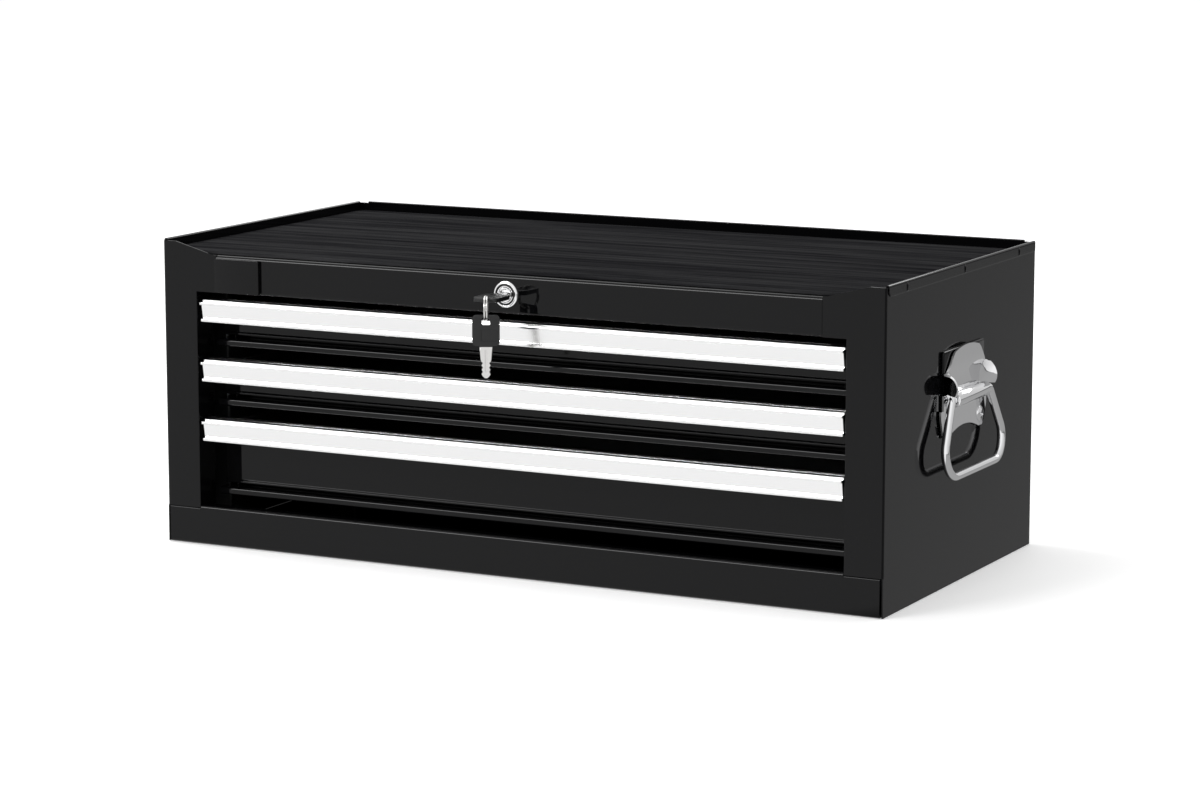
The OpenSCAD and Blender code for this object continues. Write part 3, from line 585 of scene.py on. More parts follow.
def refinish(node, slot):
    """Gives a CAD node that stays its finish."""
    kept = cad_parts[node]
    kept.data.materials.clear()
    kept.data.materials.append(finish_of(slot))


class CABINET_OT_sides(bpy.types.Operator):
    """Adds the two side panels with their pillars, ears and rear flanges"""
    bl_idname = "cabinet.sides"
    bl_label = "Side panels"

    def execute(self, context):
        eased = sizes().cut_edge / MM
        flat_x = HALF_W - EAR_FLAT
        rear = [(HALF_W, FRONT), (HALF_W, BACK), (HALF_W - REAR_FLANGE, BACK)]
        lower = bend(
            [(OPEN_X + PILLAR_LIP, FRONT + PILLAR_RETURN), (OPEN_X, FRONT + PILLAR_RETURN), (OPEN_X, FRONT),
             (flat_x, FRONT), *rear], [FOLD, PILLAR_EDGE, 0, FOLD, FOLD])
        upper = bend(
            [(EAR_X, FRONT), (OPEN_X + FOLD, FRONT), (flat_x, FRONT), *rear], [0, 0, FOLD, FOLD])
        foot = bend([(HALF_W, FRONT + SHEET), (HALF_W, FRONT + FOLD), *rear[1:]], [0, FOLD])
        slope = EAR_DROP / (flat_x - EAR_X)
        tops = [SIDE_TOP - max(0, flat_x - p[0]) * slope if p[1] < FRONT + SHEET else SIDE_TOP for p in upper]
        side = Shape()
        side.upright(lower, [PILLAR_LOW] * len(lower), [OPEN_HIGH] * len(lower))
        side.upright(upper, [OPEN_HIGH] * len(upper), tops)
        side.upright(foot, [0] * len(foot), [PILLAR_LOW] * len(foot))
        add_piece("right_side_panel", side, "enamel", "cabinet", ["right_side"], SHEET, eased)
        add_piece("left_side_panel", side.mirrored(), "enamel", "cabinet", ["left_side"], SHEET, eased)
        return {"FINISHED"}


class CABINET_OT_top(bpy.types.Operator):
    """Adds the tray top with its rail, rims and hems, the mat and the bare plate"""
    bl_idname = "cabinet.top"
    bl_label = "Tray top"

    rail_fold, floor_fold, rim_fold, lip_fold = FOLD + 1, 1.6, 0.6, 0.8
    back_lip = 3.0
    rim_foot = 8.0
    hem_h, hem_start, hem_round = 9.3, 4.0, 5.0
    crimp_places = (40, 161, 283)

    def execute(self, context):
        self.rim_x = HALF_W - 2 * SHEET
        self.tray()
        self.mat()
        self.bare_plate()
        return {"FINISHED"}

    def tray(self):
        """One sheet: the front rail, the floor, the back rim and the side rims."""
        rail_half = EAR_X - SEAM
        rim_y = BACK - 3 * SHEET
        floor_start = (FRONT + RAIL_RETURN, MAT_LOW)
        floor_y = FRONT + SHEET
        rail = bend([(FRONT + RAIL_RETURN, OPEN_HIGH), (FRONT, OPEN_HIGH), (FRONT, MAT_LOW), floor_start],
                    [FOLD, self.rail_fold])
        lip_end = (BACK, RIM_Z - self.back_lip)
        back = bend([floor_start, (rim_y, MAT_LOW), (rim_y, RIM_Z), (BACK, RIM_Z), lip_end],
                    [self.floor_fold, self.rim_fold, self.lip_fold])
        ends = Shape().along_x(back, rail_half, self.rim_x - self.rim_foot)
        ends.along_x([(floor_y, MAT_LOW), floor_start], rail_half, HALF_W - FOLD)
        panel = Shape().along_x(rail + back[1:], -rail_half, rail_half)
        panel.add(ends.with_twin()).add(self.side_rim().with_twin())
        add_piece("tray_top", panel, "enamel", "cabinet", ["top_panel"], SHEET, sizes().cut_edge / MM)

    def side_rim(self):
        """The right-hand rim: up from the floor, over the side panel and down outside as a hem."""
        crimp_w, crimp_h = sizes().crimp_w / MM, sizes().crimp_h / MM
        hem_x, hem_y, hem_end = HALF_W + SHEET, edge("top_panel", LOW, Y) + self.hem_start, BACK - FOLD
        rows = [(hem_y + self.hem_round * t, self.hem_round * (1 - math.sqrt(1 - (1 - t) ** 2)))
                for t in (0, 0.04, 0.12, 0.25, 0.45, 0.7, 1)]
        crimps = {}
        for place in self.crimp_places:
            for step, height in ((-1, 0), (-0.6, 0.35), (-0.25, 1), (0.25, 1), (0.6, 0.35), (1, 0)):
                crimps[FRONT + place + step * crimp_w / 2] = height * crimp_h
        rows += [(y, 0) for y in sorted(crimps)] + [(hem_end - 3, 0), (hem_end - 1.5, 0.5)]
        sheet = []
        for y, lift in rows:
            low = RIM_Z - self.hem_h + lift
            # Levels of the hem's face, between its two folds
            high, tall = RIM_Z - 1.4, self.hem_h - lift - 2.4
            face = [(hem_x, high - tall * share) for share in (0.1, 0.3, 0.7, 0.9)]
            path = bend([(self.rim_x - self.rim_foot, MAT_LOW), (self.rim_x, MAT_LOW), (self.rim_x, RIM_Z),
                         (hem_x, RIM_Z), *face, (hem_x, low), (HALF_W + 0.1, low)],
                        [1.2, 1.3, 1.3, 0, 0, 0, 0, 0.8], 4)
            # A crimp lifts the three lower levels
            for p in path[-9:-6]:
                p[0] += crimps.get(y, 0)
            sheet.append([(p[0], y, p[1]) for p in path])
        return Shape().rows(sheet)

    def mat(self):
        low, high = corners("top_mat")
        loop = rounded_box(low[X], low[Y], high[X], high[Y], 2)
        mat = outline_plate([loop], high[Z] - low[Z], 0.5)
        mat.moved(Matrix.Translation((0, 0, low[Z])))
        add_piece("tray_mat", mat, "mat", "cabinet", ["top_mat"])

    def bare_plate(self):
        low, high = corners("badge_plate")
        loop = rounded_box(low[X], low[Z], high[X], high[Z], 1.5)
        plate = outline_plate([loop], high[Y] - low[Y], 0.6)
        plate.moved(Matrix.Translation((0, high[Y], 0)) @ Matrix.Rotation(math.pi / 2, 4, "X"))
        add_piece("bare_plate", plate, "enamel", "cabinet", ["badge_plate"])


class CABINET_OT_shell(bpy.types.Operator):
    """Adds the bottom pan, the back and the uprights inside"""
    bl_idname = "cabinet.shell"
    bl_label = "Bottom, back and frame"

    seam_fold, seam_return = 1.2, 4.0
    rivet_levels = (30, 95, 160, 225)

    def execute(self, context):
        eased = sizes().cut_edge / MM
        add_piece("bottom_pan", self.pan(), "enamel", "cabinet", ["bottom_panel"], SHEET, eased)
        add_piece("back_sheet", in_box(*corners("back_panel")), "enamel", "cabinet", ["back_panel"], 0, eased)
        add_piece("back_rivets", self.rivets(), "enamel", "cabinet")
        for node in ("left_uprights", "right_uprights", "rod_bracket", "bar_guides"):
            refinish(node, "inner_enamel")
        return {"FINISHED"}

    def pan(self):
        """One sheet: the floor, the bottom rail with its fold, and the folded seams under the pillars."""
        rail_half, end_x = OPEN_X - SEAM, HALF_W - FOLD
        seam_z = PILLAR_LOW - SEAM
        split_z = seam_z - 2 * SHEET
        spread = [-end_x, -OPEN_X, -rail_half, rail_half, OPEN_X, end_x]
        floor = bend([(BACK - 2 * SHEET, 0), (FRONT, 0), (FRONT, split_z)], [FOLD])
        rail = bend([(FRONT, split_z), (FRONT, BOTTOM_RAIL), (FRONT + RAIL_RETURN, BOTTOM_RAIL)], [FOLD])
        seam = bend([(FRONT, split_z), (FRONT, seam_z), (FRONT + self.seam_return, seam_z)], [self.seam_fold])
        pan = Shape().along_x(floor, *spread).along_x(rail, -rail_half, rail_half)
        return pan.add(Shape().along_x(seam, OPEN_X, end_x).with_twin())

    def rivets(self):
        """Domed rivets that hold the back to the flanges of the sides."""
        dome = [(0, 1.1), (0.9, 1.0), (1.7, 0.75), (2.3, 0.35), (2.6, 0), (2.6, -0.5)]
        heads = Shape()
        for side in (-1, 1):
            for z in self.rivet_levels:
                place = Matrix.Translation((side * (HALF_W - REAR_FLANGE / 2), BACK, z))
                heads.add(Shape().lathe(dome, 24).moved(place))
        return heads


class CABINET_OT_drawers(bpy.types.Operator):
    """Adds the rolled fronts, the extruded pulls and the trays of the drawers"""
    bl_idname = "cabinet.drawers"
    bl_label = "Drawers"

    gauge = 0.8
    # Places behind the cabinet's front, then heights over the front's lower edge
    shelf, lip, face = 9.1, 23.0, 33.0
    groove_d = 9.0
    lip_h, face_h = 6.3, 8.9
    foot_reach = 20.0
    bead_d, bead_h = 0.9, 1.6
    nose_drop, step_drop, ledge_t, foot_t = 3.4, 1.8, 2.2, 2.3
    hem_w = 6.0

    def execute(self, context):
        for n in DRAWERS:
            self.front(n)
            self.pull(n)
            self.tray(n)
            refinish(f"drawer_catch_{n}", "zinc")
        return {"FINISHED"}

    def front(self, n):
        """Rolled sheet: foot, lip, groove, a bead under the face, and the shelf behind the pull."""
        low, high = edge(f"drawer_front_{n}", LOW, Z), edge(f"drawer_front_{n}", HIGH, Z)
        shelf_y, lip_y = FRONT + self.shelf, FRONT + self.lip
        face_y = FRONT + self.face
        groove_y = face_y + self.groove_d
        bead_y = face_y - self.bead_d
        lip_z, face_z = low + self.lip_h, low + self.face_h
        path = bend([(TRAY_FRONT + self.foot_reach, low), (lip_y, low), (lip_y, lip_z), (groove_y, lip_z),
                     (groove_y, face_z), (bead_y, face_z), (bead_y, face_z + self.bead_h),
                     (face_y, face_z + 2 * self.bead_h), (face_y, high), (shelf_y, high)],
                    [1.5, 2, 0.8, 0.8, 0.7, 0.8, 0.8, 0.8])
        front = Shape().along_x(path, -FRONT_HALF, FRONT_HALF)
        add_piece(f"rolled_front_{n}", front, "enamel", f"drawer_{n}", [f"drawer_front_{n}"], self.gauge,
                  sizes().cut_edge / MM)

    def pull(self, n):
        """Extrusion: a stepped ledge, a leaning web and a foot; outlines are in Y behind the front, and Z."""
        top, low = edge(f"drawer_pull_{n}", HIGH, Z), edge(f"drawer_pull_{n}", LOW, Z)
        nose, step = top - self.nose_drop, top - self.step_drop
        under, over = nose - self.ledge_t, low + self.foot_t
        ledge = [(0, under), (0, nose), (5, nose), (5, step), (10.2, step), (11.8, top - 0.3), (13, top),
                 (13, under)]
        web = [(2.2, under + 1), (5.2, under + 1), (7.6, low + 1), (4.6, low + 1)]
        foot = [(1.8, low), (1.8, over), (8.4, over), (8.4, low)]
        pull = Shape()
        for profile, half in ((ledge, PULL_HALF), (web, PULL_HALF - SEAM), (foot, PULL_HALF)):
            section = [(FRONT + y, z) for y, z in profile]
            pull.along_x(section + section[:1], -half, half)
            pull.face([(-half, y, z) for y, z in section])
            pull.face([(half, y, z) for y, z in reversed(section)])
        add_piece(f"extruded_pull_{n}", pull, "aluminium", f"drawer_{n}", [f"drawer_pull_{n}"], 0,
                  sizes().pull_edge / MM)

    def tray(self, n):
        """Folded box: floor and sides with hems, and a back wall set just inside them."""
        low, high = edge(f"drawer_tray_{n}", LOW, Z), edge(f"drawer_tray_{n}", HIGH, Z)
        hem_x = TRAY_HALF - self.hem_w
        path = bend([(hem_x, high), (TRAY_HALF, high), (TRAY_HALF, low), (-TRAY_HALF, low),
                     (-TRAY_HALF, high), (-hem_x, high)], [1.5] * 4)
        tray = Shape().along_y(path, TRAY_FRONT, TRAY_BACK)
        inset = 0.5
        inner, sill, top = TRAY_HALF - inset, low + inset, high - inset
        wall = ((inner, sill), (-inner, sill), (-inner, top), (inner, top))
        tray.face([(x, TRAY_BACK, z) for x, z in wall])
        add_piece(f"drawer_box_{n}", tray, "inner_enamel", f"drawer_{n}", [f"drawer_tray_{n}"], self.gauge,
                  sizes().cut_edge / MM)


class CABINET_OT_slides(bpy.types.Operator):
    """Adds the rolled members of the ball-bearing slides and their screws"""
    bl_idname = "cabinet.slides"
    bl_label = "Slides"

    steel = 1.2
    outer_reach, inner_reach = 10.0, 8.7
    bend_r, edge_r = 1.8, 0.2
    # Places along an inner member, from its front end
    screw_places = (18, 92, 168, 236)
    screw_r, screw_h, screw_turn = 3.2, 1.5, 0.6

    def execute(self, context):
        for n in DRAWERS:
            self.outer(n)
            self.inner(n)
            refinish(f"ball_cages_{n}", "zinc")
            refinish(f"slide_balls_{n}", "steel")
        return {"FINISHED"}

    def outer(self, n):
        low, high = corners(f"outer_slides_{n}")
        foot = high[X] - self.outer_reach
        path = bend([(foot, high[Z]), (high[X], high[Z]), (high[X], low[Z]), (foot, low[Z])],
                    [self.bend_r] * 2)
        rolled = Shape().along_y(path, low[Y], high[Y]).with_twin()
        add_piece(f"outer_rails_{n}", rolled, "zinc", "cabinet", [f"outer_slides_{n}"], self.steel,
                  self.edge_r)

    def inner(self, n):
        low, high = corners(f"inner_slides_{n}")
        foot = TRAY_HALF + self.inner_reach
        path = bend([(foot, low[Z]), (TRAY_HALF, low[Z]), (TRAY_HALF, high[Z]), (foot, high[Z])],
                    [self.bend_r] * 2)
        rolled = Shape().along_y(path, low[Y], high[Y]).with_twin()
        add_piece(f"inner_rails_{n}", rolled, "zinc", f"drawer_{n}", [f"inner_slides_{n}"], self.steel,
                  self.edge_r)
        heads = Shape()
        for k, far in enumerate(self.screw_places):
            place = Matrix.Translation((TRAY_HALF + self.steel, low[Y] + far, (low[Z] + high[Z]) / 2))
            turn = Matrix.Rotation(self.screw_turn * k, 4, "Z")
            heads.add(pan_head(self.screw_r, self.screw_h).moved(place @ ON_SIDE @ turn))
        add_piece(f"rail_screws_{n}", heads.with_twin(), "zinc", f"drawer_{n}")


class CABINET_OT_lock(bpy.types.Operator):
    """Adds the lock, the keys and the split ring"""
    bl_idname = "cabinet.lock"
    bl_label = "Lock and keys"

    ring_turn = math.radians(27)
    # The head of the key in the lock is thicker than its solid
    bow_swell = 1.0
    core_gap = 0.4
    core_out, dish_out, lathe_steps = 3.0, 2.2, 64
    head_r, spare_neck = 3.4, 0.8
    # Holes for the ring: lower end, upper end and half width, from the head's end
    lock_hole, spare_hole = (2.2, 11.2, 4.5), (2.2, 8.4, 3.3)
    recess_w, recess_h, recess_d = 13.0, 9.0, 0.4
    # Wire radius, and the distance of a turn from the ring's middle in wire radii
    ring_wire, ring_spread, ring_turns, ring_steps = 0.68, 1.4, 1.94, 180

    def execute(self, context):
        for node in ("lock_nut", "lock_rod", "lock_bar"):
            refinish(node, "zinc")
        self.cylinder_lock()
        self.key_in_lock()
        self.split_ring()
        self.spare_key()
        return {"FINISHED"}

    def cylinder_lock(self):
        """Bezel with a rolled rim and a groove round the core, and the core with a dished face."""
        place = Matrix.Translation((0, FRONT, LOCK_Z))
        bezel_r = edge("lock_body", HIGH, X)
        core_r = edge("lock_core", HIGH, X)
        tail = edge("lock_body", HIGH, Y) - FRONT
        bezel = [(core_r + 0.1, 4), (core_r + 0.1, -2.0), (core_r + 0.4, -2.4), (core_r + 1.1, -2.4),
                 (core_r + 1.4, -0.8), (core_r + 2.4, -0.8), (core_r + 2.7, -2.3), (core_r + 3.1, -2.5),
                 (bezel_r - 1.2, -2.3), (bezel_r - 0.4, -1.7), (bezel_r, -0.9), (bezel_r, 0),
                 (8.5, 0), (8.5, tail)]
        seal = [(core_r + 1.3, -1.6), (core_r + 1.9, -1.9), (core_r + 2.5, -1.6), (core_r + 2.4, -0.9),
                (core_r + 1.4, -0.9), (core_r + 1.3, -1.6)]
        core_tail = edge("lock_core", HIGH, Y) - FRONT
        core = [(0, core_tail), (core_r - 0.1, core_tail), (core_r - 0.1, 0.3 - self.core_out),
                (core_r - 0.4, -self.core_out), (core_r - 1.3, -self.core_out),
                (core_r - 1.8, -self.dish_out), (0, -self.dish_out)]
        for name, profile, slot, body, stands_for, smooth in (
                ("lock_bezel", bezel, "chrome", "cabinet", ["lock_body"], 50),
                ("bezel_seal", seal, "plastic", "cabinet", [], 50),
                ("lock_barrel", core, "chrome", "lock_turner", ["lock_core"], 35)):
            turned = Shape().lathe(profile, self.lathe_steps).moved(place)
            add_piece(name, turned, slot, body, stands_for, smooth=smooth)

    def head_loops(self, length, half, neck, hole):
        """Outline of a key's head, from Y = 0 to the neck round the blade, and the hole for the ring."""
        neck_half, neck_r, end = half / 2, neck / 2.2, length + neck
        right = [(half, 0), (half, length), (neck_half, length), (neck_half, end)]
        radii = [self.head_r, self.head_r, neck_r, neck_r]
        outline = rounded_loop([(-half, 0), *right, *[(-x, y) for x, y in reversed(right[1:])]],
                               [self.head_r, *radii, *reversed(radii[1:])], 8)
        low, high, hole_half = hole
        return [outline, rounded_box(-hole_half, low, hole_half, high, 1.2)]

    def recess(self, x, y):
        """Shallow field in a key's head, from its lower left corner."""
        return rounded_box(x, y, x + self.recess_w, y + self.recess_h, 0.6)

    def blade_loop(self, length, top_half, neck_half):
        """Outline of a blade: tapered, then bitted on both edges up to its point."""
        neck = length / 2
        # Share of the neck's half width, and place past the neck
        bits = ((1.17, -2), (0.97, -0.2), (0.7, 0.6), (1, 2.6), (0.7, 4.4), (0.97, 6.2), (0.7, 7.8), (1, 9.6),
                (0.7, neck - 1.6), (0.25, neck))
        right = [(top_half, 0), *[(neck_half * wide, neck + far) for wide, far in bits]]
        return right + [(-x, y) for x, y in reversed(right)]

    def key_in_lock(self):
        key_y, length = edge("key_head", LOW, Y), measure("key_head", Y)
        thick, blade_t = measure("key_head", Z) + self.bow_swell, measure("key_blade", Z)
        neck = FRONT - self.core_out - self.core_gap - key_y - length
        loops = self.head_loops(length, edge("key_head", HIGH, X), neck, self.lock_hole)
        head = layered_plate(loops, [self.recess(-4, 13)], thick, self.recess_d, 0.5)
        head.moved(Matrix.Translation((0, key_y, LOCK_Z + thick / 2)) @ Matrix.Scale(-1, 4, (0, 0, 1)))
        add_piece("key_bow", head, "plastic", "lock_turner", ["key_head"])
        reach = edge("key_blade", HIGH, Y) - key_y - length
        blade = layered_plate([self.blade_loop(reach, 4.2, 3.6)], [], blade_t, 0.4, 0.25)
        blade.moved(Matrix.Translation((0, key_y + length, LOCK_Z - blade_t / 2)))
        add_piece("key_shank", blade, "nickel", "lock_turner", ["key_blade"])

    def split_ring(self):
        """Two turns of spring wire side by side; the wire steps over between them."""
        low, high = corners("key_ring")
        wire, steps = self.ring_wire, self.ring_steps
        radius = (high[Z] - low[Z]) / 2 - wire
        path = []
        for i in range(steps + 1):
            share = i / steps - 0.5
            a = 2 * math.pi * self.ring_turns * share + math.pi * 0.3
            side = max(-1, min(1, share * 9)) * wire * self.ring_spread
            path.append((side, radius * math.cos(a), radius * math.sin(a)))
        ring = Shape().tube(path, wire, 14)
        ring.moved(Matrix.Translation((low + high) / 2) @ Matrix.Rotation(self.ring_turn, 4, "Z"))
        add_piece("split_ring", ring, "nickel", "key_ring", ["key_ring"])

    def spare_key(self):
        low, high = corners("key_ring")
        hang = (low + high) / 2
        top, foot = edge("spare_key_head", HIGH, Z), edge("spare_key_head", LOW, Z)
        thick, blade_t = measure("key_head", Z), measure("key_blade", Z)
        place = (Matrix.Translation((hang[X], hang[Y], top)) @ Matrix.Rotation(self.ring_turn, 4, "Z")
                 @ Matrix.Rotation(-math.pi / 2, 4, "X"))
        loops = self.head_loops(top - foot, edge("key_head", HIGH, X), self.spare_neck, self.spare_hole)
        head = layered_plate(loops, [self.recess(-3.6, 12)], thick, self.recess_d, 0.35)
        head.moved(place @ Matrix.Translation((0, 0, -thick / 2)))
        add_piece("spare_key_bow", head, "plastic", "spare_key", ["spare_key_head"])
        outline = self.blade_loop(foot - edge("spare_key_blade", LOW, Z), 5.2, 3.7)
        blade = layered_plate([outline], [rounded_box(-0.6, 3, 0.6, 21, 0.5)], blade_t, 0.6, 0.3)
        blade.moved(place @ Matrix.Translation((0, top - foot, -blade_t / 2)))
        add_piece("spare_key_shank", blade, "nickel", "spare_key", ["spare_key_blade"])


class CABINET_OT_handles(bpy.types.Operator):
    """Adds the drop handles on the sides"""
    bl_idname = "cabinet.handles"
    bl_label = "Drop handles"

    gauge, edge_r = 1.5, 0.4
    # The stamping sits a little forward of the middle of the side, and the bail half as far
    middle = -4.5
    axis_z, axis_out = 154.0, 5.5
    horn_y, horn_reach, horn_h, horn_root, horn_flare, horn_round = 44.0, 12.5, 16.5, 30.0, 38.0, 0.35
    crown_half, crown_rise = 28.0, 4.0
    # The sheet's front before the side panel on the pad, and the step back below the pad
    plate_out, step_d, step_h = 4.0, 2.4, 16.0
    knee_drop, foot_drop, foot_half = 8.0, 14.0, 49.0
    lobe_y, lobe_r, arch_half, arch_d = 43.5, 6.0, 33.0, 6.5
    screw_y, screw_r, screw_rise = 35.0, 6.5, 1.2
    barrel_half, barrel_r = 34.0, 6.0
    # Y, Z and radius of the wire's corners, from the hinge's axis
    bail_corners = ((40.6, 0, 4.8), (61, -36, 14), (62, -60.5, 20))
    bail_lean = math.radians(5)

    def execute(self, context):
        self.wire = sizes().bail_wire / MM / 2
        self.axis = Matrix.Translation((PLATE_X + self.axis_out, 0, self.axis_z))
        self.horn_low = self.axis_z + self.wire + 0.6
        self.horn_top = self.horn_low + self.horn_h
        groups = (("pad", self.pad(), "enamel", "handle_pad", 0),
                  ("stamped_plate", self.plate(), "chrome", "handle_plate", self.gauge),
                  ("hinge_barrel", self.barrel(), "chrome", "handle_plate", 0),
                  ("screw_heads", self.screws(), "chrome", "handle_screws", 0),
                  ("wire_bail", self.bail(), "chrome", "bail", 0))
        for name, shape, slot, node, gauge in groups:
            shape.moved(Matrix.Translation((0, self.middle / 2 if node == "bail" else self.middle, 0)))
            for side, part in (("right", shape), ("left", shape.mirrored())):
                body = f"{side}_bail" if node == "bail" else "cabinet"
                rounding = self.edge_r if gauge else 0
                add_piece(f"{side}_{name}", part, slot, body, [f"{side}_{node}"], gauge, rounding)
        return {"FINISHED"}

    def pad(self):
        low, high = corners("right_handle_pad")
        loop = rounded_box(-self.horn_y, self.horn_top, self.horn_y, high[Z], 2.5)
        return outline_plate([loop], 2.6, 1.0).moved(Matrix.Translation((low[X], 0, 0)) @ ON_SIDE)

    def crown(self, y):
        """Height of the plate's upper edge: an arch in the middle, then a slope down to the horn."""
        reach = abs(y)
        top = edge("right_handle_plate", HIGH, Z)
        if reach <= self.crown_half:
            return top - self.crown_rise * (reach / self.crown_half) ** 2
        share = (reach - self.crown_half) / (self.horn_y - self.crown_half)
        return self.horn_top + (top - self.crown_rise - self.horn_top) * (1 - share) ** 1.2

    def sheet_x(self, z):
        """Front of the sheet: on the pad above, and set back on the side panel below it."""
        share = max(0, min(1, (self.horn_top + self.step_h / 2 - z) / self.step_h))
        return HALF_W + self.plate_out - self.step_d * share * share * (3 - 2 * share)

    def curled(self, share, z):
        """A point of the plate's end, which curls out into the stop horn below the shoulder."""
        rise = max(0, min(1, (z - self.horn_low) / self.horn_h))
        bow = (rise - self.horn_round) / (1 - self.horn_round)
        out = self.horn_reach * math.sqrt(max(0, 1 - bow ** 2))
        rest = 1 - share
        y = rest ** 2 * self.horn_root + 2 * share * rest * self.horn_flare + share ** 2 * self.horn_y
        return Vector((self.sheet_x(z) + out * share * share, y, z))

    def plate(self):
        """One stamping: crown, curled horns, and the lobed foot on the side panel."""
        flat_half, inner_half = self.horn_root, 26.0
        shoulder_z = self.axis_z + 9
        flats = [-flat_half, *[inner_half * k / 8 for k in range(-8, 9)], flat_half]

        def levels(top):
            below = [self.horn_low + (shoulder_z - self.horn_low) * k / 3 for k in range(4)]
            return below + [shoulder_z + (top - shoulder_z) * (k / 9) ** 0.8 for k in range(1, 10)]

        plate = Shape().rows([[(self.sheet_x(z), y, z) for z in levels(self.crown(y))] for y in flats])
        ends = []
        for step in range(13):
            share = step / 12
            ends.append([self.curled(share, z) for z in levels(self.crown(self.curled(share, 0)[Y]))])
        plate.rows(ends)
        plate.rows([[(x, -y, z) for x, y, z in column] for column in reversed(ends)])
        knee_x, knee = self.sheet_x(0), (self.axis_z - self.knee_drop, self.horn_low)
        knee_ys = (-self.horn_y, -flat_half, flat_half, self.horn_y)
        plate.rows([[(knee_x, y, z) for z in knee] for y in knee_ys])
        return plate.add(self.foot())

    def foot(self):
        """The lower part of the plate: two lobes round the screws with an arch between."""
        x, high, low = HALF_W + self.gauge, self.axis_z - self.knee_drop, edge("right_handle_plate", LOW, Z)
        lobe = bend([(-self.foot_half, high), (-self.lobe_y, low), (4 - self.arch_half, low)],
                    [self.lobe_r], 8)
        arch = [(self.arch_half * k / 12, low + self.arch_d * (1 - (k / 12) ** 2)) for k in range(-12, 1)]
        left = [(-self.foot_half, self.axis_z - self.foot_drop), *lobe[1:-1], *arch]
        outline = left + [(-y, z) for y, z in reversed(left[:-1])]
        return Shape().rows([[(x, y, z), (x, y, high)] for y, z in outline])

    def barrel(self):
        """The tongue rolled round the bail's wire, with eased ends."""
        bore, half, r = self.wire + 0.3, self.barrel_half, self.barrel_r
        end = [(r, half - 0.5), (r - 0.15, half - 0.15), (r - 0.5, half), (bore, half)]
        profile = [(across, -y) for across, y in reversed(end)] + end
        profile.append(profile[0])
        return Shape().lathe(profile, 40).moved(self.axis)

    def screws(self):
        """Pan heads with a cross recess, on the lobes."""
        low, high = corners("right_handle_screws")
        seat = HALF_W + self.gauge
        both = Shape()
        for y, turn in ((-self.screw_y, 20), (self.screw_y, 65)):
            place = Matrix.Translation((seat, y, (low[Z] + high[Z]) / 2)) @ ON_SIDE
            head = pan_head(self.screw_r, high[X] - seat + self.screw_rise)
            both.add(head.moved(place @ Matrix.Rotation(math.radians(turn), 4, "Z")))
        return both

    def bail(self):
        """Bent wire: from the barrel out to the knees, and down to the grip."""
        near = [(-y, z) for y, z, r in self.bail_corners]
        far = [(y, z) for y, z, r in reversed(self.bail_corners)]
        radii = [r for y, z, r in self.bail_corners]
        path = bend([(0, 0), *near, *far, (0, 0)], radii + radii[::-1], 14)
        sink, rise = math.sin(self.bail_lean), math.cos(self.bail_lean)
        points = [(-z * sink, y, z * rise) for y, z in path[:-1]]
        return Shape().tube(points, self.wire, 24, closed=True).moved(self.axis)


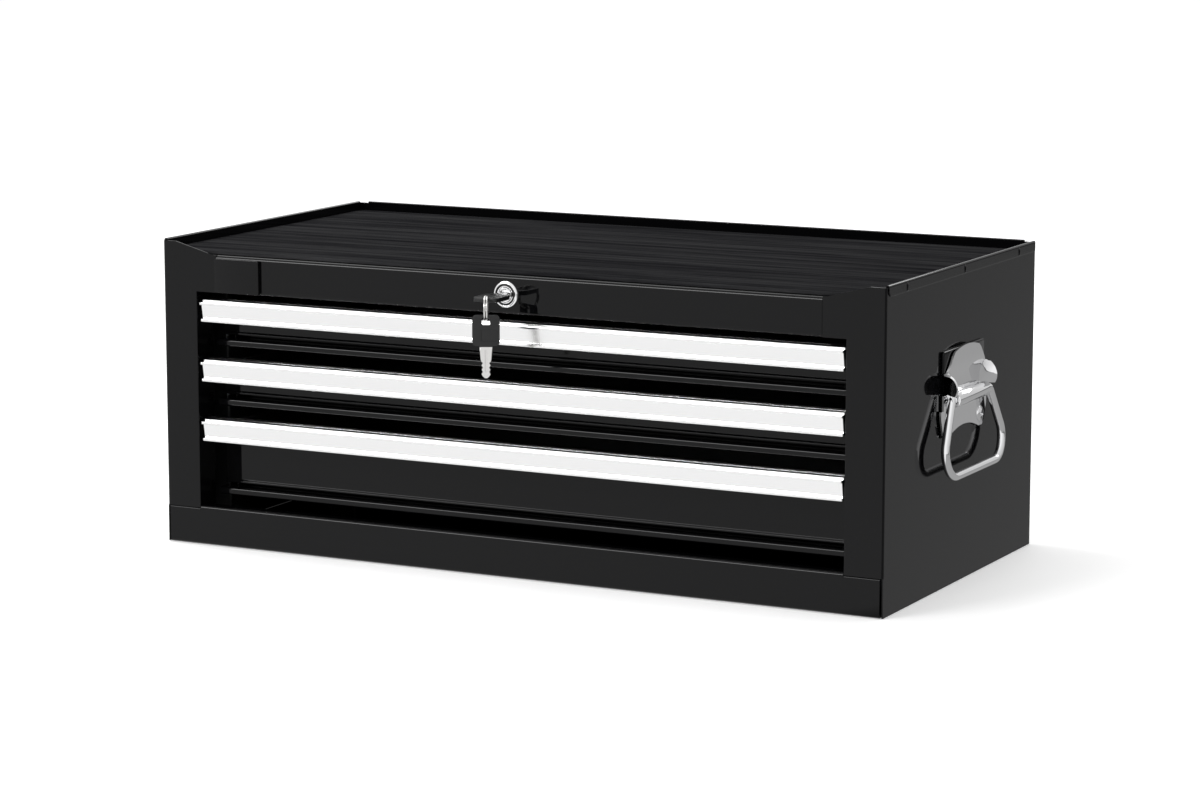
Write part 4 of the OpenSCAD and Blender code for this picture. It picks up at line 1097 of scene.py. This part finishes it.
class CABINET_OT_stage(bpy.types.Operator):
    """Sets the floor, the light and the camera"""
    bl_idname = "cabinet.stage"
    bl_label = "Stage"

    floor_half, floor_drop = 30, 0.0005
    paper_lift = 0.24
    # Level of the floor's painted glow and of the sky in reflections, as (way to the right and back, level);
    # the floor's stops are painted shade that stands for the studio's light falling off
    painted_floor_stops = ((0.14, 1), (0.2, 0.38), (2.6, 0.33), (3.4, 0.1))
    sky_stops = ((0.1, 1), (0.4, 0.85), (1.2, 0.6))
    back_share = 0.8
    # Name, place, width, depth and how many strips' power
    lamp_list = (("left_strip", (-1.15, 0.1, 2.2), 0.7, 2.0, 1),
                 ("front_box", (-1.7, -3.0, 1.6), 1.6, 1.0, 3),
                 ("back_strip", (0.2, 2.6, 1.7), 2.4, 0.6, 1))
    lamp_aim = (0, 0, 0.15)
    camera_place = (1.3865, -2.7016, 0.6303)
    camera_dip, camera_turn = 9.489, 27.145

    def execute(self, context):
        scene = context.scene
        scene.view_settings.view_transform = "Standard"
        self.floor()
        self.sky(scene)
        self.lamps(scene)
        self.camera(scene)
        return {"FINISHED"}

    def floor(self):
        half, z = self.floor_half, -self.floor_drop
        mesh = bpy.data.meshes.new("studio_floor")
        square = [(-half, -half, z), (half, -half, z), (half, half, z), (-half, half, z)]
        mesh.from_pydata(square, [], [(0, 1, 2, 3)])
        made = put("studio_floor", mesh)
        paper = bpy.data.materials.new("matt_paper_with_painted_reflection")
        paper.use_nodes = True
        tree = paper.node_tree
        shader = tree.nodes["Principled BSDF"]
        shader.inputs["Base Color"].default_value = (*colours().floor, 1)
        shader.inputs["Roughness"].default_value = 1.0
        shader.inputs["Specular IOR Level"].default_value = 0.0
        path = add_node(tree, "ShaderNodeLightPath")
        # The camera sees the lit paper as white; shadows stay
        shader.inputs["Emission Color"].default_value = (1, 1, 1, 1)
        lift = add_node(tree, "ShaderNodeMath", {0: path.outputs["Is Camera Ray"]}, {1: self.paper_lift},
                        operation="MULTIPLY")
        tree.links.new(lift.outputs[0], shader.inputs["Emission Strength"])
        # Reflections see a painted glow on the floor instead of the lit paper: a painted reflection, dimmer
        # to the right and back as painted shade of the studio's light falling off
        place = add_node(tree, "ShaderNodeSeparateXYZ",
                         {0: add_node(tree, "ShaderNodeTexCoord").outputs["Object"]})
        level = self.falloff(tree, place, self.painted_floor_stops)
        # Painted reflection: the floor glows for glossy rays though it is no lamp
        painted_reflection_glow = add_node(tree, "ShaderNodeEmission", {"Strength": level})
        mix = add_node(tree, "ShaderNodeMixShader",
                       {0: path.outputs["Is Glossy Ray"], 1: shader.outputs[0], 2: painted_reflection_glow.outputs[0]})
        tree.links.new(mix.outputs[0], tree.nodes["Material Output"].inputs["Surface"])
        mesh.materials.append(paper)

    def falloff(self, tree, place, stops):
        """A level that runs through stops of (distance to the right and back, level)."""
        first, last = stops[0][0], stops[-1][0]
        away = add_node(tree, "ShaderNodeMath", {0: place.outputs["Y"], 2: place.outputs["X"]},
                        {1: self.back_share}, operation="MULTIPLY_ADD")
        share = add_node(tree, "ShaderNodeMapRange", {"Value": away.outputs[0]},
                         {"From Min": first, "From Max": last})
        ramp = add_node(tree, "ShaderNodeValToRGB", {"Fac": share.outputs["Result"]})
        elements = ramp.color_ramp.elements
        while len(elements) < len(stops):
            elements.new(0.5)
        for element, (where, level) in zip(elements, stops):
            element.position = (where - first) / (last - first)
            element.color = (level, level, level, 1)
        return ramp.outputs["Color"]

    def sky(self, scene):
        world = bpy.data.worlds.new("studio")
        scene.world = world
        world.use_nodes = True
        tree = world.node_tree
        tree.nodes.clear()
        path = add_node(tree, "ShaderNodeLightPath")
        heading = add_node(tree, "ShaderNodeSeparateXYZ",
                           {0: add_node(tree, "ShaderNodeTexCoord").outputs["Generated"]})
        level = self.falloff(tree, heading, self.sky_stops)
        even = add_node(tree, "ShaderNodeBackground", None, {"Strength": scene.cabinet_studio.sky,
                                                             "Color": (1, 1, 1, 1)})
        white = add_node(tree, "ShaderNodeBackground", None, {"Color": (1, 1, 1, 1), "Strength": 1.0})
        mirrored = add_node(tree, "ShaderNodeBackground", {"Color": level}, {"Strength": 1.0})
        seen = add_node(tree, "ShaderNodeMixShader",
                        {0: path.outputs["Is Camera Ray"], 1: even.outputs[0], 2: white.outputs[0]})
        mix = add_node(tree, "ShaderNodeMixShader",
                       {0: path.outputs["Is Glossy Ray"], 1: seen.outputs[0], 2: mirrored.outputs[0]})
        add_node(tree, "ShaderNodeOutputWorld", {"Surface": mix.outputs[0]})

    def lamps(self, scene):
        for name, place, width, depth, strips in self.lamp_list:
            lamp = bpy.data.lights.new(name, "AREA")
            lamp.shape, lamp.size, lamp.size_y = "RECTANGLE", width, depth
            lamp.energy = scene.cabinet_studio.strips * strips
            made = put(name, lamp)
            made.location = place
            made.rotation_euler = (Vector(self.lamp_aim) - made.location).to_track_quat("-Z", "Y").to_euler()

    def camera(self, scene):
        lens = bpy.data.cameras.new("photo_camera")
        lens.lens, lens.sensor_width = scene.cabinet_studio.lens, 36
        lens.clip_end = 200
        made = put("photo_camera", lens)
        made.location = self.camera_place
        made.rotation_euler = (math.radians(90 - self.camera_dip), 0, math.radians(self.camera_turn))
        scene.camera = made


class CABINET_PT_sidebar(bpy.types.Panel):
    """Lists the cabinet's groups and their settings"""
    bl_idname = "CABINET_PT_sidebar"
    bl_label = "Tool cabinet"
    bl_space_type = "VIEW_3D"
    bl_region_type = "UI"
    bl_category = "Cabinet"

    def draw(self, context):
        for group_name, kind in GROUPS.items():
            for name in kind.__annotations__:
                self.layout.prop(getattr(context.scene, group_name), name)
        for step in STEPS:
            self.layout.operator(step.bl_idname)


STEPS = (CABINET_OT_sides, CABINET_OT_top, CABINET_OT_shell, CABINET_OT_drawers, CABINET_OT_slides,
         CABINET_OT_lock, CABINET_OT_handles, CABINET_OT_stage)
GROUPS = {"cabinet_sizes": CabinetSizes, "cabinet_colours": CabinetColours, "cabinet_studio": CabinetStudio}


def register():
    for made in (*GROUPS.values(), *STEPS, CABINET_PT_sidebar):
        bpy.utils.register_class(made)
    for name, group in GROUPS.items():
        setattr(bpy.types.Scene, name, bpy.props.PointerProperty(type=group))


def unregister():
    for name in GROUPS:
        delattr(bpy.types.Scene, name)
    for made in reversed((*GROUPS.values(), *STEPS, CABINET_PT_sidebar)):
        bpy.utils.unregister_class(made)


def main():
    register()
    bpy.ops.cabinet.sides()
    bpy.ops.cabinet.top()
    bpy.ops.cabinet.shell()
    bpy.ops.cabinet.drawers()
    bpy.ops.cabinet.slides()
    bpy.ops.cabinet.lock()
    bpy.ops.cabinet.handles()
    bpy.ops.cabinet.stage()
    bpy.context.view_layer.update()


if __name__ == "__main__":
    main()
